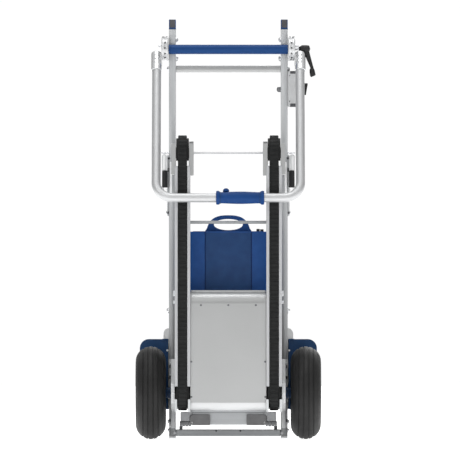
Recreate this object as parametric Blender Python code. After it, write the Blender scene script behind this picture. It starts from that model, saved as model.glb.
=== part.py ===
"""Electric stair-climbing hand truck: two aluminium uprights, two rubber crawler tracks, a battery
drive unit, two pneumatic wheels, a folding toe plate and a U-shaped swing handle.

Metres, +Z up. The operator stands on the -Y side, the load rests on the +Y side and X = 0 is the
plane of symmetry. The origin is on the floor, midway between the rearmost and foremost points.
"""

import math

import bmesh
import bpy
from mathutils import Matrix, Vector

GAP = 0.0003  # between two pieces that touch
SIDES = (("left", -1), ("right", 1))

# Uprights, and the plane that the load leans on
LOAD_PLANE = 0.0575
POST_DEPTH = 0.050
POST_BACK = LOAD_PLANE - POST_DEPTH
POST_INNER, POST_OUTER = 0.1479, 0.1674
POST_WALL = 0.0022
FOOT_HEIGHT = 0.0065
POST_TOP = 1.152
CAP_TOP = 1.180
HALF_DEPTH = 0.2575  # of the whole object

# Wheels: 260 x 85 pneumatic
TYRE_RADIUS, TYRE_HALF_WIDTH = 0.130, 0.0425
TYRE_CENTRE = 0.2174
SHOULDER_RADIUS = 0.0885  # where the tread's round crown ends in the side walls
WHEEL_Y = -0.0885
AXLE_RADIUS = 0.010

# Plates beside the wheels and across the front
GUARD_INNER, GUARD_OUTER = 0.1690, 0.2500
GUARD_LOW, GUARD_HIGH, GUARD_BACK = 0.0806, 0.2789, 0.0530
SHIELD_HALF, SHIELD_HIGH = 0.1832, 0.3100
BRACKET_INNER, BRACKET_OUTER = 0.1502, 0.1601
BRACKET_LOW, BRACKET_HIGH = 0.0300, 0.2234

# Crossbars
CROSSBAR_BACK, CROSSBAR_FRONT = 0.0175, 0.0475
CROSSBAR_LOW, CROSSBAR_HIGH, CROSSBAR_WALL = 1.0313, 1.0505, 0.0020
GRIP_BAR_HALF, GRIP_BAR_Z, GRIP_BAR_RADIUS = 0.1680, 1.0954, 0.0134

# Crawler tracks
TRACK_CENTRE = 0.128
TRACK_Y = -0.1695
PULLEY_LOW, PULLEY_HIGH = 0.1307, 0.8026
BELT_OUTER, BELT_STEP, BELT_INNER = 0.049, 0.041, 0.035
TREAD_WIDTH, BELT_WIDTH = 0.0245, 0.0355
CHANNEL_INNER, CHANNEL_OUTER = 0.1063, 0.1497
CHANNEL_LOW, CHANNEL_HIGH = 0.150, 0.781
SHAFT_RADIUS = 0.008
TIE_ROD_HEIGHT, TIE_ROD_RADIUS = 0.6085, 0.00435

# Swing handle
PIVOT_Y, PIVOT_Z = -0.0075, 1.097
BAR_Y, BAR_Z = -0.238, 0.6768
LEG_X, HANDLE_RADIUS = 0.2015, 0.0127
BEND_RADIUS = 0.047
DISC_RADIUS = 0.0335
DISC_INNER, DISC_SPLIT, DISC_OUTER = 0.1684, 0.1782, 0.1882
GRIP_LEFT, GRIP_RIGHT = -0.0342, 0.1002

# Drive unit and battery
COVER_HALF, COVER_LOW, COVER_HIGH = 0.1060, 0.0786, 0.4161
COVER_BACK = -0.2040
BATTERY_HALF, BATTERY_LOW, BATTERY_HIGH = 0.112, 0.360, 0.5823
BATTERY_BACK, BATTERY_FRONT = -0.082, 0.048
MOTOR_Y, MOTOR_Z, MOTOR_RADIUS = 0.004, 0.232, 0.037

# Toe plate
HINGE_Y, HINGE_Z, HINGE_RADIUS = 0.0668, 0.0145, 0.004
TOE_LOW, TOE_THICK = 0.0060, 0.0060


def clear_scene():
    for obj in list(bpy.data.objects):
        bpy.data.objects.remove(obj)


def material(name, colour, roughness, metallic=0.0):
    made = bpy.data.materials.new(name)
    made.use_nodes = True
    shader = made.node_tree.nodes["Principled BSDF"]
    shader.inputs["Base Color"].default_value = (*colour, 1.0)
    shader.inputs["Roughness"].default_value = roughness
    shader.inputs["Metallic"].default_value = metallic
    made.diffuse_color = (*colour, 1.0)
    return made


def make_materials():
    return {
        "aluminium": material("aluminium", (0.48, 0.49, 0.50), 0.35, 0.6),
        "tube": material("tube", (0.62, 0.62, 0.63), 0.25, 0.6),
        "steel": material("steel", (0.35, 0.36, 0.38), 0.3, 0.9),
        "grey": material("grey", (0.13, 0.13, 0.135), 0.6),
        "black": material("black", (0.02, 0.02, 0.022), 0.5),
        "rubber": material("rubber", (0.024, 0.024, 0.025), 0.85),
        "blue": material("blue", (0.022, 0.065, 0.23), 0.45),
        "blue_dark": material("blue_dark", (0.014, 0.04, 0.14), 0.5),
    }


def new_object(name, bm, surface, smooth_angle=None):
    """Ends a bmesh as an object whose faces point out."""
    bmesh.ops.recalc_face_normals(bm, faces=bm.faces)
    mesh = bpy.data.meshes.new(name)
    bm.to_mesh(mesh)
    bm.free()
    mesh.materials.append(surface)
    if smooth_angle:
        mesh.shade_smooth()
        mesh.set_sharp_from_angle(angle=math.radians(smooth_angle))
    obj = bpy.data.objects.new(name, mesh)
    bpy.context.collection.objects.link(obj)
    return obj


def bevel(obj, width, segments=1):
    changed = obj.modifiers.new("Bevel", "BEVEL")
    changed.width = width
    changed.segments = segments
    changed.limit_method = "ANGLE"
    changed.angle_limit = math.radians(40)
    return obj


def hide_helper(obj):
    obj.hide_render = True
    obj.display_type = "WIRE"


def boolean(obj, other, operation):
    changed = obj.modifiers.new(operation.title(), "BOOLEAN")
    changed.operation = operation
    changed.solver = "EXACT"
    changed.object = other
    hide_helper(other)
    return obj


def cut(obj, other):
    return boolean(obj, other, "DIFFERENCE")


def join(obj, other):
    return boolean(obj, other, "UNION")


def prism(name, outline, axis, start, end, surface, smooth_angle=None):
    """A flat outline extruded along an axis. Its points are (y, z) for X, (x, z) for Y, (x, y) for Z."""
    place = {
        "X": lambda a, b: (start, a, b),
        "Y": lambda a, b: (a, start, b),
        "Z": lambda a, b: (a, b, start),
    }[axis]
    along = Vector([float(axis == letter) for letter in "XYZ"]) * (end - start)
    bm = bmesh.new()
    face = bm.faces.new([bm.verts.new(place(*point)) for point in outline])
    moved = bmesh.ops.extrude_face_region(bm, geom=[face])["geom"]
    bmesh.ops.translate(bm, vec=along, verts=[v for v in moved if isinstance(v, bmesh.types.BMVert)])
    return new_object(name, bm, surface, smooth_angle)


def box(name, low, high, surface):
    outline = [(low[0], low[1]), (high[0], low[1]), (high[0], high[1]), (low[0], high[1])]
    return prism(name, outline, "Z", low[2], high[2], surface)


def turned(name, profile, axis, centre, surface, steps=32, closed=False, smooth_angle=40):
    """A profile of (along, radius) points turned about an axis through the centre."""
    direction = Vector([float(axis == letter) for letter in "XYZ"])
    outward = Vector((0, 0, 1)) if axis != "Z" else Vector((1, 0, 0))
    bm = bmesh.new()
    verts = [bm.verts.new(Vector(centre) + direction * a + outward * r) for a, r in profile]
    pairs = list(zip(verts, verts[1:]))
    if closed:
        pairs.append((verts[-1], verts[0]))
    edges = [bm.edges.new(pair) for pair in pairs]
    bmesh.ops.spin(
        bm, geom=verts + edges, cent=centre, axis=direction, angle=math.tau, steps=steps,
        use_merge=True,
    )
    bmesh.ops.remove_doubles(bm, verts=bm.verts, dist=1e-6)
    bmesh.ops.dissolve_degenerate(bm, edges=bm.edges, dist=1e-6)
    return new_object(name, bm, surface, smooth_angle)


def rod(name, start, end, radius, surface, sides=20):
    """A round bar between two points."""
    start, end = Vector(start), Vector(end)
    turn = (end - start).to_track_quat("Z", "Y").to_matrix().to_4x4()
    bm = bmesh.new()
    bmesh.ops.create_cone(
        bm, cap_ends=True, segments=sides, radius1=radius, radius2=radius,
        depth=(end - start).length, matrix=Matrix.Translation((start + end) / 2) @ turn,
    )
    return new_object(name, bm, surface, 40)


def bent_tube(name, points, radius, surface, resolution=4):
    """A round tube along a line of points, as a curve with filled caps."""
    curve = bpy.data.curves.new(name, "CURVE")
    curve.dimensions = "3D"
    curve.bevel_depth = radius
    curve.bevel_resolution = resolution
    curve.use_fill_caps = True
    spline = curve.splines.new("POLY")
    spline.points.add(len(points) - 1)
    for target, point in zip(spline.points, points):
        target.co = (*point, 1.0)
    spline.use_smooth = True
    curve.materials.append(surface)
    obj = bpy.data.objects.new(name, curve)
    bpy.context.collection.objects.link(obj)
    return obj


def arc(centre_a, centre_b, radius, start, end, steps):
    """Points of an arc; angles in degrees, from the first axis towards the second."""
    angles = [math.radians(start + (end - start) * i / steps) for i in range(steps + 1)]
    return [(centre_a + radius * math.cos(t), centre_b + radius * math.sin(t)) for t in angles]


def rounded_rectangle(low_a, low_b, high_a, high_b, radius, steps=3):
    corners = (
        (high_a - radius, high_b - radius, 0), (low_a + radius, high_b - radius, 90),
        (low_a + radius, low_b + radius, 180), (high_a - radius, low_b + radius, 270),
    )
    return [p for a, b, t in corners for p in arc(a, b, radius, t, t + 90, steps)]


def set_origin(obj, point):
    """Moves an object's origin to a joint's axis and leaves its shape where it is."""
    place = Vector(point)
    obj.data.transform(Matrix.Translation(-place))
    obj.location = place
    return obj


def on_handle(x, along, across=0.0):
    """A point in the leaning handle's own plane: distance from the pivot, and out of the plane."""
    reach = Vector((0, BAR_Y - PIVOT_Y, BAR_Z - PIVOT_Z)).normalized()
    normal = Vector((0, -reach.z, reach.y))
    return Vector((x, PIVOT_Y, PIVOT_Z)) + reach * along - normal * across


def handle_reach():
    return math.hypot(BAR_Y - PIVOT_Y, BAR_Z - PIVOT_Z)


def make_uprights(looks):
    for side, sign in SIDES:
        low, high = sorted((sign * POST_INNER, sign * POST_OUTER))
        post = prism(
            f"{side}_upright",
            rounded_rectangle(low, POST_BACK, high, LOAD_PLANE, 0.002, 2),
            "Z", FOOT_HEIGHT + GAP, POST_TOP, looks["aluminium"],
        )
        hollow = box(
            f"{side}_upright_hollow",
            (low + POST_WALL, POST_BACK + POST_WALL, 0),
            (high - POST_WALL, LOAD_PLANE - POST_WALL, CAP_TOP), looks["aluminium"],
        )
        cut(post, hollow)
        cap = box(
            f"{side}_end_cap", (low, POST_BACK, POST_TOP + GAP), (high, LOAD_PLANE, CAP_TOP),
            looks["blue"],
        )
        bevel(cap, 0.003, 2)
        foot = box(f"{side}_foot", (low, POST_BACK, 0), (high, LOAD_PLANE, FOOT_HEIGHT), looks["grey"])
        bevel(foot, 0.0012)


def make_crossbars(looks):
    inner = POST_INNER - GAP
    bar = prism(
        "upper_crossbar",
        rounded_rectangle(CROSSBAR_BACK, CROSSBAR_LOW, CROSSBAR_FRONT, CROSSBAR_HIGH, 0.0025, 2), "X",
        -inner, inner, looks["aluminium"],
    )
    hollow = box(
        "upper_crossbar_hollow", (-0.2, CROSSBAR_BACK + CROSSBAR_WALL, CROSSBAR_LOW + CROSSBAR_WALL),
        (0.2, CROSSBAR_FRONT - CROSSBAR_WALL, CROSSBAR_HIGH - CROSSBAR_WALL), looks["aluminium"],
    )
    cut(bar, hollow)
    foot_bar = box(
        "bottom_crossbar", (-inner, 0.0085, 0.0057), (inner, 0.0565, 0.0246), looks["aluminium"]
    )
    bevel(foot_bar, 0.0015)
    rod(
        "grip_bar", (-GRIP_BAR_HALF, PIVOT_Y, GRIP_BAR_Z), (GRIP_BAR_HALF, PIVOT_Y, GRIP_BAR_Z),
        GRIP_BAR_RADIUS, looks["blue"], 28,
    )
    rod(
        "middle_tie_rod", (-CHANNEL_INNER + GAP, TRACK_Y, TIE_ROD_HEIGHT),
        (CHANNEL_INNER - GAP, TRACK_Y, TIE_ROD_HEIGHT), TIE_ROD_RADIUS, looks["steel"], 16,
    )


def make_pivot_discs(looks):
    """Fixed half discs on the uprights; the turning halves are part of the handle sockets."""
    for side, sign in SIDES:
        disc = turned(
            f"{side}_pivot_disc",
            [(sign * DISC_INNER, 0), (sign * DISC_INNER, DISC_RADIUS),
             (sign * (DISC_SPLIT - GAP), DISC_RADIUS), (sign * (DISC_SPLIT - GAP), 0)],
            "X", (0, PIVOT_Y, PIVOT_Z), looks["aluminium"], 28,
        )
        ear = prism(
            f"{side}_pivot_disc_ear",
            [(PIVOT_Y, PIVOT_Z - 0.0332), (0.046, PIVOT_Z - 0.0332), (0.046, PIVOT_Z + 0.0332),
             (PIVOT_Y, PIVOT_Z + 0.0332)],
            "X", sign * DISC_INNER, sign * 0.1735, looks["aluminium"],
        )
        join(disc, ear)


def make_handle(looks):
    reach = handle_reach()
    for side, sign in SIDES:
        socket = rod(
            f"{side}_handle_socket", on_handle(sign * 0.2022, 0.0125), on_handle(sign * 0.2022, 0.0715),
            0.0148, looks["aluminium"], 24,
        )
        bevel(socket, 0.003, 2)
        half_disc = turned(
            f"{side}_socket_disc",
            [(sign * DISC_SPLIT, 0), (sign * DISC_SPLIT, DISC_RADIUS),
             (sign * DISC_OUTER, DISC_RADIUS), (sign * DISC_OUTER, 0)],
            "X", (0, PIVOT_Y, PIVOT_Z), looks["aluminium"], 28,
        )
        bore = rod(
            f"{side}_socket_bore", on_handle(sign * LEG_X, 0.0250), on_handle(sign * LEG_X, 0.2),
            HANDLE_RADIUS + 0.0004, looks["aluminium"], 24,
        )
        join(socket, half_disc)
        cut(socket, bore)
        set_origin(socket, (0, PIVOT_Y, PIVOT_Z))

    start, straight = 0.0256, reach - BEND_RADIUS
    bends = arc(LEG_X - BEND_RADIUS, straight, BEND_RADIUS, 0, 90, 8)
    half = [(LEG_X, start)] + bends
    line = [(-x, along) for x, along in half] + list(reversed(half))
    bent_tube("handle_tube", [on_handle(x, along) for x, along in line], HANDLE_RADIUS, looks["tube"])

    bar = (0, BAR_Y, BAR_Z)
    bore = HANDLE_RADIUS + 0.0003
    profile = [
        (GRIP_LEFT, bore), (GRIP_LEFT, 0.0180), (GRIP_LEFT + 0.003, 0.0195), (GRIP_LEFT + 0.009, 0.0190),
        (GRIP_LEFT + 0.0125, 0.0158), (0.010, 0.0166), (0.034, 0.01735), (0.058, 0.0166),
        (GRIP_RIGHT - 0.0145, 0.0158), (GRIP_RIGHT - 0.011, 0.0190), (GRIP_RIGHT - 0.003, 0.0195),
        (GRIP_RIGHT, 0.0180), (GRIP_RIGHT, bore),
    ]
    grip = turned("handle_grip", profile, "X", bar, looks["blue"], 28, closed=True)
    button_x, button_radius = -0.0064, 0.00875
    pocket = rod(
        "button_pocket", on_handle(button_x, reach - 0.003), on_handle(button_x, reach - 0.04),
        button_radius + 0.0004, looks["blue"], 24,
    )
    cut(grip, pocket)
    set_origin(grip, (0, PIVOT_Y, PIVOT_Z))
    button = rod(
        "thumb_button", on_handle(button_x, reach - 0.0170), on_handle(button_x, reach - 0.0283),
        button_radius, looks["blue"], 24,
    )
    bevel(button, 0.003, 3)
    set_origin(button, on_handle(button_x, reach - 0.0170))


def make_clamp_lever(looks):
    """The hub turns on the pivot's axis, and the arm hangs down outside the handle's leg."""
    hub = turned(
        "clamp_lever",
        [(0.1887, 0), (0.1887, 0.0045), (0.1962, 0.0045), (0.2045, 0.0092), (0.2085, 0.0105),
         (0.2265, 0.0105), (0.2290, 0.0080), (0.2290, 0)],
        "X", (0, PIVOT_Y, PIVOT_Z), looks["black"], 24,
    )
    ends = (
        ((0.2240, PIVOT_Y, PIVOT_Z - 0.004), 0.0055), ((0.2330, PIVOT_Y, 1.046), 0.0070),
        ((0.2374, PIVOT_Y, 1.0275), 0.0104),
    )
    bm = bmesh.new()
    for centre, radius in ends:
        for height, turns in ((-1.0, 1), (-0.7, 12), (0.0, 12), (0.7, 12), (1.0, 1)):
            ring = radius * math.sqrt(1 - height * height)
            for i in range(turns):
                turn = math.tau * i / turns
                bm.verts.new(Vector(centre) + Vector(
                    (ring * math.cos(turn), ring * math.sin(turn), radius * height)))
    hull = bmesh.ops.convex_hull(bm, input=bm.verts)
    inside = {v for v in hull["geom_interior"] if isinstance(v, bmesh.types.BMVert)}
    bmesh.ops.delete(bm, geom=list(inside), context="VERTS")
    arm = new_object("clamp_lever_arm", bm, looks["black"], 50)
    join(hub, arm)
    set_origin(hub, (0, PIVOT_Y, PIVOT_Z))


def make_controls(looks):
    case = box(
        "control_box", (POST_OUTER + 0.0008, -0.002, 0.9344), (0.2130, 0.0535, 1.0344), looks["aluminium"]
    )
    bevel(case, 0.003, 2)
    outline = [
        (0.2135, 0.9840), (0.2163, 0.9673), (0.2185, 0.9673), (0.2205, 0.9800), (0.2238, 0.9955),
        (0.2230, 1.0006), (0.2163, 1.0006),
    ]
    rocker = prism("rocker_switch", outline, "Y", 0.0170, 0.0345, looks["black"])
    bevel(rocker, 0.0006)
    set_origin(rocker, (0.2140, 0.0258, 0.9840))
    centre = (0, 0.0258, 0.9828)
    knob = turned(
        "selector_knob",
        [(0.1476, 0), (0.1476, 0.0073), (0.1415, 0.0073), (0.1385, 0.0062), (0.1367, 0.0038), (0.1362, 0)],
        "X", centre, looks["black"], 24,
    )
    set_origin(knob, centre)


def belt_section(outer, step, inner):
    """Half of the belt's T-shaped section, from its inner face out, as (half width, radius)."""
    base, tread = BELT_WIDTH / 2, TREAD_WIDTH / 2
    return [(base, inner), (base, step), (tread, step), (tread, outer)]


def make_belts(looks):
    """Each belt is a closed loop with straight runs between two half turns."""
    for side, sign in SIDES:
        half = belt_section(BELT_OUTER, BELT_STEP, BELT_INNER)
        section = half + [(-width, radius) for width, radius in reversed(half)]
        steps = 12
        stations = [(PULLEY_HIGH, math.pi * i / steps) for i in range(steps + 1)]
        stations += [(PULLEY_LOW, math.pi * (1 + i / steps)) for i in range(steps + 1)]
        bm = bmesh.new()
        rings = [
            [
                bm.verts.new((
                    sign * TRACK_CENTRE + width, TRACK_Y + radius * math.cos(turn),
                    height + radius * math.sin(turn),
                ))
                for width, radius in section
            ]
            for height, turn in stations
        ]
        for ring, following in zip(rings, rings[1:] + rings[:1]):
            for i in range(len(section)):
                j = (i + 1) % len(section)
                bm.faces.new((ring[i], ring[j], following[j], following[i]))
        new_object(f"{side}_belt", bm, looks["rubber"], 40)


def make_track_channels(looks):
    """Two back-to-back C rails on one section: the belt runs in the open sides, behind their lips."""
    half = (CHANNEL_OUTER - CHANNEL_INNER) / 2
    wall, web, lip = 0.0022, 0.0340, 0.0418
    edge, slot = 0.0440, 0.0133
    quarter = [(slot, edge), (half, edge)]
    inside = [(half - wall, web), (half - wall, lip), (slot, lip)]
    for side, sign in SIDES:
        centre = sign * TRACK_CENTRE
        outline = [(centre + x, TRACK_Y - y) for x, y in quarter]
        outline += [(centre + x, TRACK_Y + y) for x, y in reversed(quarter)]
        outline += [(centre + x, TRACK_Y + y) for x, y in reversed(inside)]
        outline += [(centre - x, TRACK_Y + y) for x, y in inside]
        outline += [(centre - x, TRACK_Y + y) for x, y in quarter]
        outline += [(centre - x, TRACK_Y - y) for x, y in reversed(quarter)]
        outline += [(centre - x, TRACK_Y - y) for x, y in reversed(inside)]
        outline += [(centre + x, TRACK_Y - y) for x, y in inside]
        rail = prism(f"{side}_track_channel", outline, "Z", CHANNEL_LOW, CHANNEL_HIGH, looks["aluminium"])
        hollow = box(
            f"{side}_track_channel_hollow",
            (centre - half + wall, TRACK_Y - web + wall, 0), (centre + half - wall, TRACK_Y + web - wall, 1),
            looks["aluminium"],
        )
        cut(rail, hollow)


def toothed_outline(teeth, tip, root):
    points = []
    for i in range(teeth):
        for share, radius in ((0.0, root), (0.16, tip), (0.50, tip), (0.66, root)):
            turn = math.tau * (i + share) / teeth
            points.append((TRACK_Y + radius * math.cos(turn), PULLEY_LOW + radius * math.sin(turn)))
    return points


def make_pulleys(looks):
    rim = BELT_INNER - 0.0004
    face = 0.0172
    for side, sign in SIDES:
        centre = sign * TRACK_CENTRE
        pulley = prism(
            f"{side}_drive_pulley", toothed_outline(18, rim, rim - 0.004), "X", centre - face, centre + face,
            looks["black"],
        )
        hub = rod(
            f"{side}_drive_hub", (sign * 0.1055, TRACK_Y, PULLEY_LOW), (sign * 0.1499, TRACK_Y, PULLEY_LOW),
            0.0182, looks["black"], 28,
        )
        bore = rod(
            f"{side}_drive_bore", (-0.2, TRACK_Y, PULLEY_LOW), (0.2, TRACK_Y, PULLEY_LOW),
            SHAFT_RADIUS + GAP, looks["black"], 20,
        )
        join(pulley, hub)
        cut(pulley, bore)
        set_origin(pulley, (0, TRACK_Y, PULLEY_LOW))
        idler = turned(
            f"{side}_idler_pulley",
            [(-0.0190, 0.0066), (-0.0190, 0.0150), (-face, 0.0160), (-face, rim), (face, rim), (face, 0.0160),
             (0.0190, 0.0150), (0.0190, 0.0066)],
            "X", (centre, TRACK_Y, PULLEY_HIGH), looks["grey"], 24, closed=True,
        )
        set_origin(idler, (0, TRACK_Y, PULLEY_HIGH))
    rod(
        "drive_shaft", (-0.1600, TRACK_Y, PULLEY_LOW), (0.1600, TRACK_Y, PULLEY_LOW), SHAFT_RADIUS,
        looks["steel"], 20,
    )
    turned(
        "idler_axle",
        [(-0.1586, 0), (-0.1586, 0.0062), (-0.0965, 0.0062), (-0.0965, 0.0028), (0.0965, 0.0028),
         (0.0965, 0.0062), (0.1586, 0.0062), (0.1586, 0)],
        "X", (0, TRACK_Y, PULLEY_HIGH), looks["steel"], 20,
    )


def make_tension_plates(looks):
    """The outer plates also carry the top of each track from its upright."""
    for side, sign in SIDES:
        bore = rod(
            f"{side}_idler_bore", (-0.2, TRACK_Y, PULLEY_HIGH), (0.2, TRACK_Y, PULLEY_HIGH), 0.0065,
            looks["aluminium"], 20,
        )
        inner = prism(
            f"{side}_inner_plate", rounded_rectangle(-0.2060, 0.7389, -0.1330, 0.8347, 0.008), "X",
            sign * 0.0970, sign * (CHANNEL_INNER - GAP), looks["aluminium"],
        )
        outer = prism(
            f"{side}_outer_plate", rounded_rectangle(-0.2060, 0.7417, POST_BACK - GAP, 0.8276, 0.008), "X",
            sign * (CHANNEL_OUTER + GAP), sign * 0.1587, looks["aluminium"],
        )
        cut(inner, bore)
        cut(outer, bore)


def make_drive_unit(looks):
    sheet = 0.0016
    bend_top, bend_low = 0.034, 0.026
    high = COVER_HIGH
    back = arc(COVER_BACK + bend_top, 0.380, bend_top, 90, 180, 5)
    back += arc(COVER_BACK + bend_low, COVER_LOW + bend_low, bend_low, 180, 270, 5)
    front = arc(COVER_BACK + bend_low, COVER_LOW + bend_low, bend_low - sheet, 270, 180, 5)
    front += arc(COVER_BACK + bend_top, 0.380, bend_top - sheet, 180, 90, 5)
    top_edge = BATTERY_BACK - 0.001
    outline = [(top_edge, high)] + back + [(-0.1550, COVER_LOW)]
    outline += [(-0.1550, COVER_LOW + sheet)] + front + [(top_edge, high - sheet)]
    cover = prism("drive_cover", outline, "X", -COVER_HALF, COVER_HALF, looks["aluminium"])
    cheek = [(top_edge, high)] + back + [(0.045, COVER_LOW), (0.045, 0.340), (top_edge, 0.352)]
    for side, sign in SIDES:
        wall = prism(
            f"{side}_cover_cheek", cheek, "X", sign * (COVER_HALF - sheet), sign * COVER_HALF,
            looks["aluminium"],
        )
        join(cover, wall)
    for name, place_y, place_z, radius in (
        ("cover_axle_hole", WHEEL_Y, TYRE_RADIUS, AXLE_RADIUS),
        ("cover_shaft_hole", TRACK_Y, PULLEY_LOW, 0.0182),
    ):
        hole = rod(name, (-0.2, place_y, place_z), (0.2, place_y, place_z), radius + 0.002, looks["grey"])
        cut(cover, hole)

    turned(
        "motor",
        [(-0.088, 0), (-0.088, 0.026), (-0.082, 0.031), (-0.080, MOTOR_RADIUS), (0.052, MOTOR_RADIUS),
         (0.054, 0.031), (0.0617, 0.031), (0.0617, 0)],
        "X", (0, MOTOR_Y, MOTOR_Z), looks["steel"], 24,
    )
    rise = math.degrees(math.atan2(MOTOR_Z - PULLEY_LOW, MOTOR_Y - TRACK_Y))
    hull = arc(MOTOR_Y, MOTOR_Z, 0.034, rise - 93, rise + 93, 10)
    hull += arc(TRACK_Y, PULLEY_LOW, 0.0235, rise + 93, rise + 267, 8)
    gearbox = prism("gearbox", hull, "X", 0.0620, 0.0920, looks["grey"])
    shaft_hole = rod(
        "gearbox_shaft_hole", (0, TRACK_Y, PULLEY_LOW), (0.2, TRACK_Y, PULLEY_LOW), SHAFT_RADIUS + GAP,
        looks["grey"], 20,
    )
    cut(gearbox, shaft_hole)


def make_battery(looks):
    tray_low = BATTERY_LOW - GAP - 0.004
    inner = POST_INNER - GAP
    prism(
        "battery_tray",
        [(-0.080, tray_low), (0.0515, tray_low), (0.0515, 0.500), (0.0487, 0.500),
         (0.0487, BATTERY_LOW - GAP), (-0.080, BATTERY_LOW - GAP)],
        "X", -inner, inner, looks["aluminium"],
    )
    case = box(
        "battery_case",
        (-BATTERY_HALF, BATTERY_BACK, BATTERY_LOW), (BATTERY_HALF, BATTERY_FRONT, BATTERY_HIGH),
        looks["blue"],
    )
    bevel(case, 0.006, 3)
    crown = [(0.0405 * math.cos(t), 0.602 + 0.0155 * math.sin(t))
             for t in (math.tau * i / 24 for i in range(24))]
    half = [(0.0650, BATTERY_HIGH - 0.010), (0.0650, 0.5845), (0.0600, 0.5905), (0.0560, 0.6020),
            (0.0500, 0.6130), (0.0380, 0.6225), (0.0200, 0.6275)]
    outline = half + [(0, 0.6285)] + [(-x, z) for x, z in reversed(half)]
    loop = prism("battery_handle", outline, "Y", -0.066, -0.042, looks["blue"])
    hole = prism("battery_handle_hole", crown, "Y", -0.2, 0.2, looks["blue"])
    cut(loop, hole)
    join(case, loop)
    connector = box(
        "battery_connector", (0.0790, -0.0700, BATTERY_HIGH + GAP), (0.0990, -0.0560, 0.5900), looks["black"]
    )
    bevel(connector, 0.0015)


def make_running_gear(looks):
    for side, sign in SIDES:
        bracket = prism(
            f"{side}_axle_bracket",
            [(POST_BACK - GAP, BRACKET_LOW), (POST_BACK - GAP, BRACKET_HIGH), (-0.070, BRACKET_HIGH),
             (-0.150, 0.170), (-0.1900, 0.158), (-0.1960, PULLEY_LOW), (-0.1900, 0.104), (-0.150, 0.088),
             (-0.066, 0.084), (-0.060, 0.078), (-0.060, BRACKET_LOW)],
            "X", sign * BRACKET_INNER, sign * BRACKET_OUTER, looks["aluminium"],
        )
        flange = prism(
            f"{side}_bracket_flange",
            [(POST_BACK - 0.0035, BRACKET_LOW + 0.0005), (POST_BACK - GAP, BRACKET_LOW + 0.0005),
             (POST_BACK - GAP, BRACKET_HIGH - 0.0004), (POST_BACK - 0.0035, BRACKET_HIGH - 0.0004)],
            "X", sign * 0.1590, sign * POST_OUTER, looks["aluminium"],
        )
        join(bracket, flange)
        for name, place_y, place_z, radius in (
            ("axle", WHEEL_Y, TYRE_RADIUS, AXLE_RADIUS), ("shaft", TRACK_Y, PULLEY_LOW, SHAFT_RADIUS),
        ):
            hole = rod(
                f"{side}_bracket_{name}_hole", (-0.3, place_y, place_z), (0.3, place_y, place_z),
                radius + GAP, looks["aluminium"], 20,
            )
            cut(bracket, hole)

        centre = (sign * TYRE_CENTRE, WHEEL_Y, TYRE_RADIUS)
        tyre = turned(f"{side}_tyre", tyre_section(), "X", centre, looks["rubber"], 32, closed=True)
        set_origin(tyre, centre)
        half = [(0.0400, AXLE_RADIUS + GAP), (0.0400, 0.0190), (0.0060, 0.0210), (0.0030, 0.0460),
                (0.0260, 0.0480), (0.0330, 0.0585), (0.0293, 0.0585), (0.0250, 0.0521)]
        section = half + [(-x, r) for x, r in reversed(half)]
        rim = turned(f"{side}_rim", section, "X", centre, looks["aluminium"], 20, closed=True)
        set_origin(rim, centre)

        prism(f"{side}_fender", fender_outline(sign), "Y", GUARD_BACK, LOAD_PLANE - GAP, looks["blue_dark"])
    rod(
        "wheel_axle", (-0.2575, WHEEL_Y, TYRE_RADIUS), (0.2575, WHEEL_Y, TYRE_RADIUS), AXLE_RADIUS,
        looks["steel"], 20,
    )


def tyre_section():
    """From bead to bead: straight side walls and an elliptic crown."""
    crown = []
    for turn in (0, 24, 42, 57, 69, 80):
        turn = math.radians(turn)
        crown.append((TYRE_HALF_WIDTH * math.cos(turn),
                      SHOULDER_RADIUS + (TYRE_RADIUS - SHOULDER_RADIUS) * math.sin(turn)))
    half = [(0.0250, 0.0525), (0.0360, 0.0700), (0.0410, 0.0800)] + crown
    return half + [(0, TYRE_RADIUS)] + [(-x, r) for x, r in reversed(half)]


def fender_outline(sign):
    """A plate beside the upright with its outer top corner rounded."""
    radius, chamfer = 0.026, 0.010
    points = [(GUARD_INNER, GUARD_LOW)]
    points += [(GUARD_OUTER - chamfer, GUARD_LOW), (GUARD_OUTER, GUARD_LOW + chamfer)]
    points += arc(GUARD_OUTER - radius, GUARD_HIGH - radius, radius, 0, 90, 6) + [(GUARD_INNER, GUARD_HIGH)]
    return [(sign * x, z) for x, z in points]


def make_base(looks):
    shield = rounded_rectangle(-SHIELD_HALF, GUARD_LOW, SHIELD_HALF, SHIELD_HIGH, 0.016, 5)
    prism("front_shield", shield, "Y", LOAD_PLANE + GAP, LOAD_PLANE + 0.0023, looks["aluminium"])

    beam = box("lower_crossmember", (-0.1340, -0.1900, 0.0420), (0.1340, -0.1550, 0.0783), looks["aluminium"])
    bevel(beam, 0.002)
    for side, sign in SIDES:
        pad = prism(
            f"{side}_stair_pad",
            [(sign * x, z) for x, z in rounded_rectangle(0.0514, 0.0335, 0.1350, 0.0700, 0.004, 2)],
            "Y", -0.2000, -0.1903, looks["grey"],
        )
        bevel(pad, 0.001)


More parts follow.
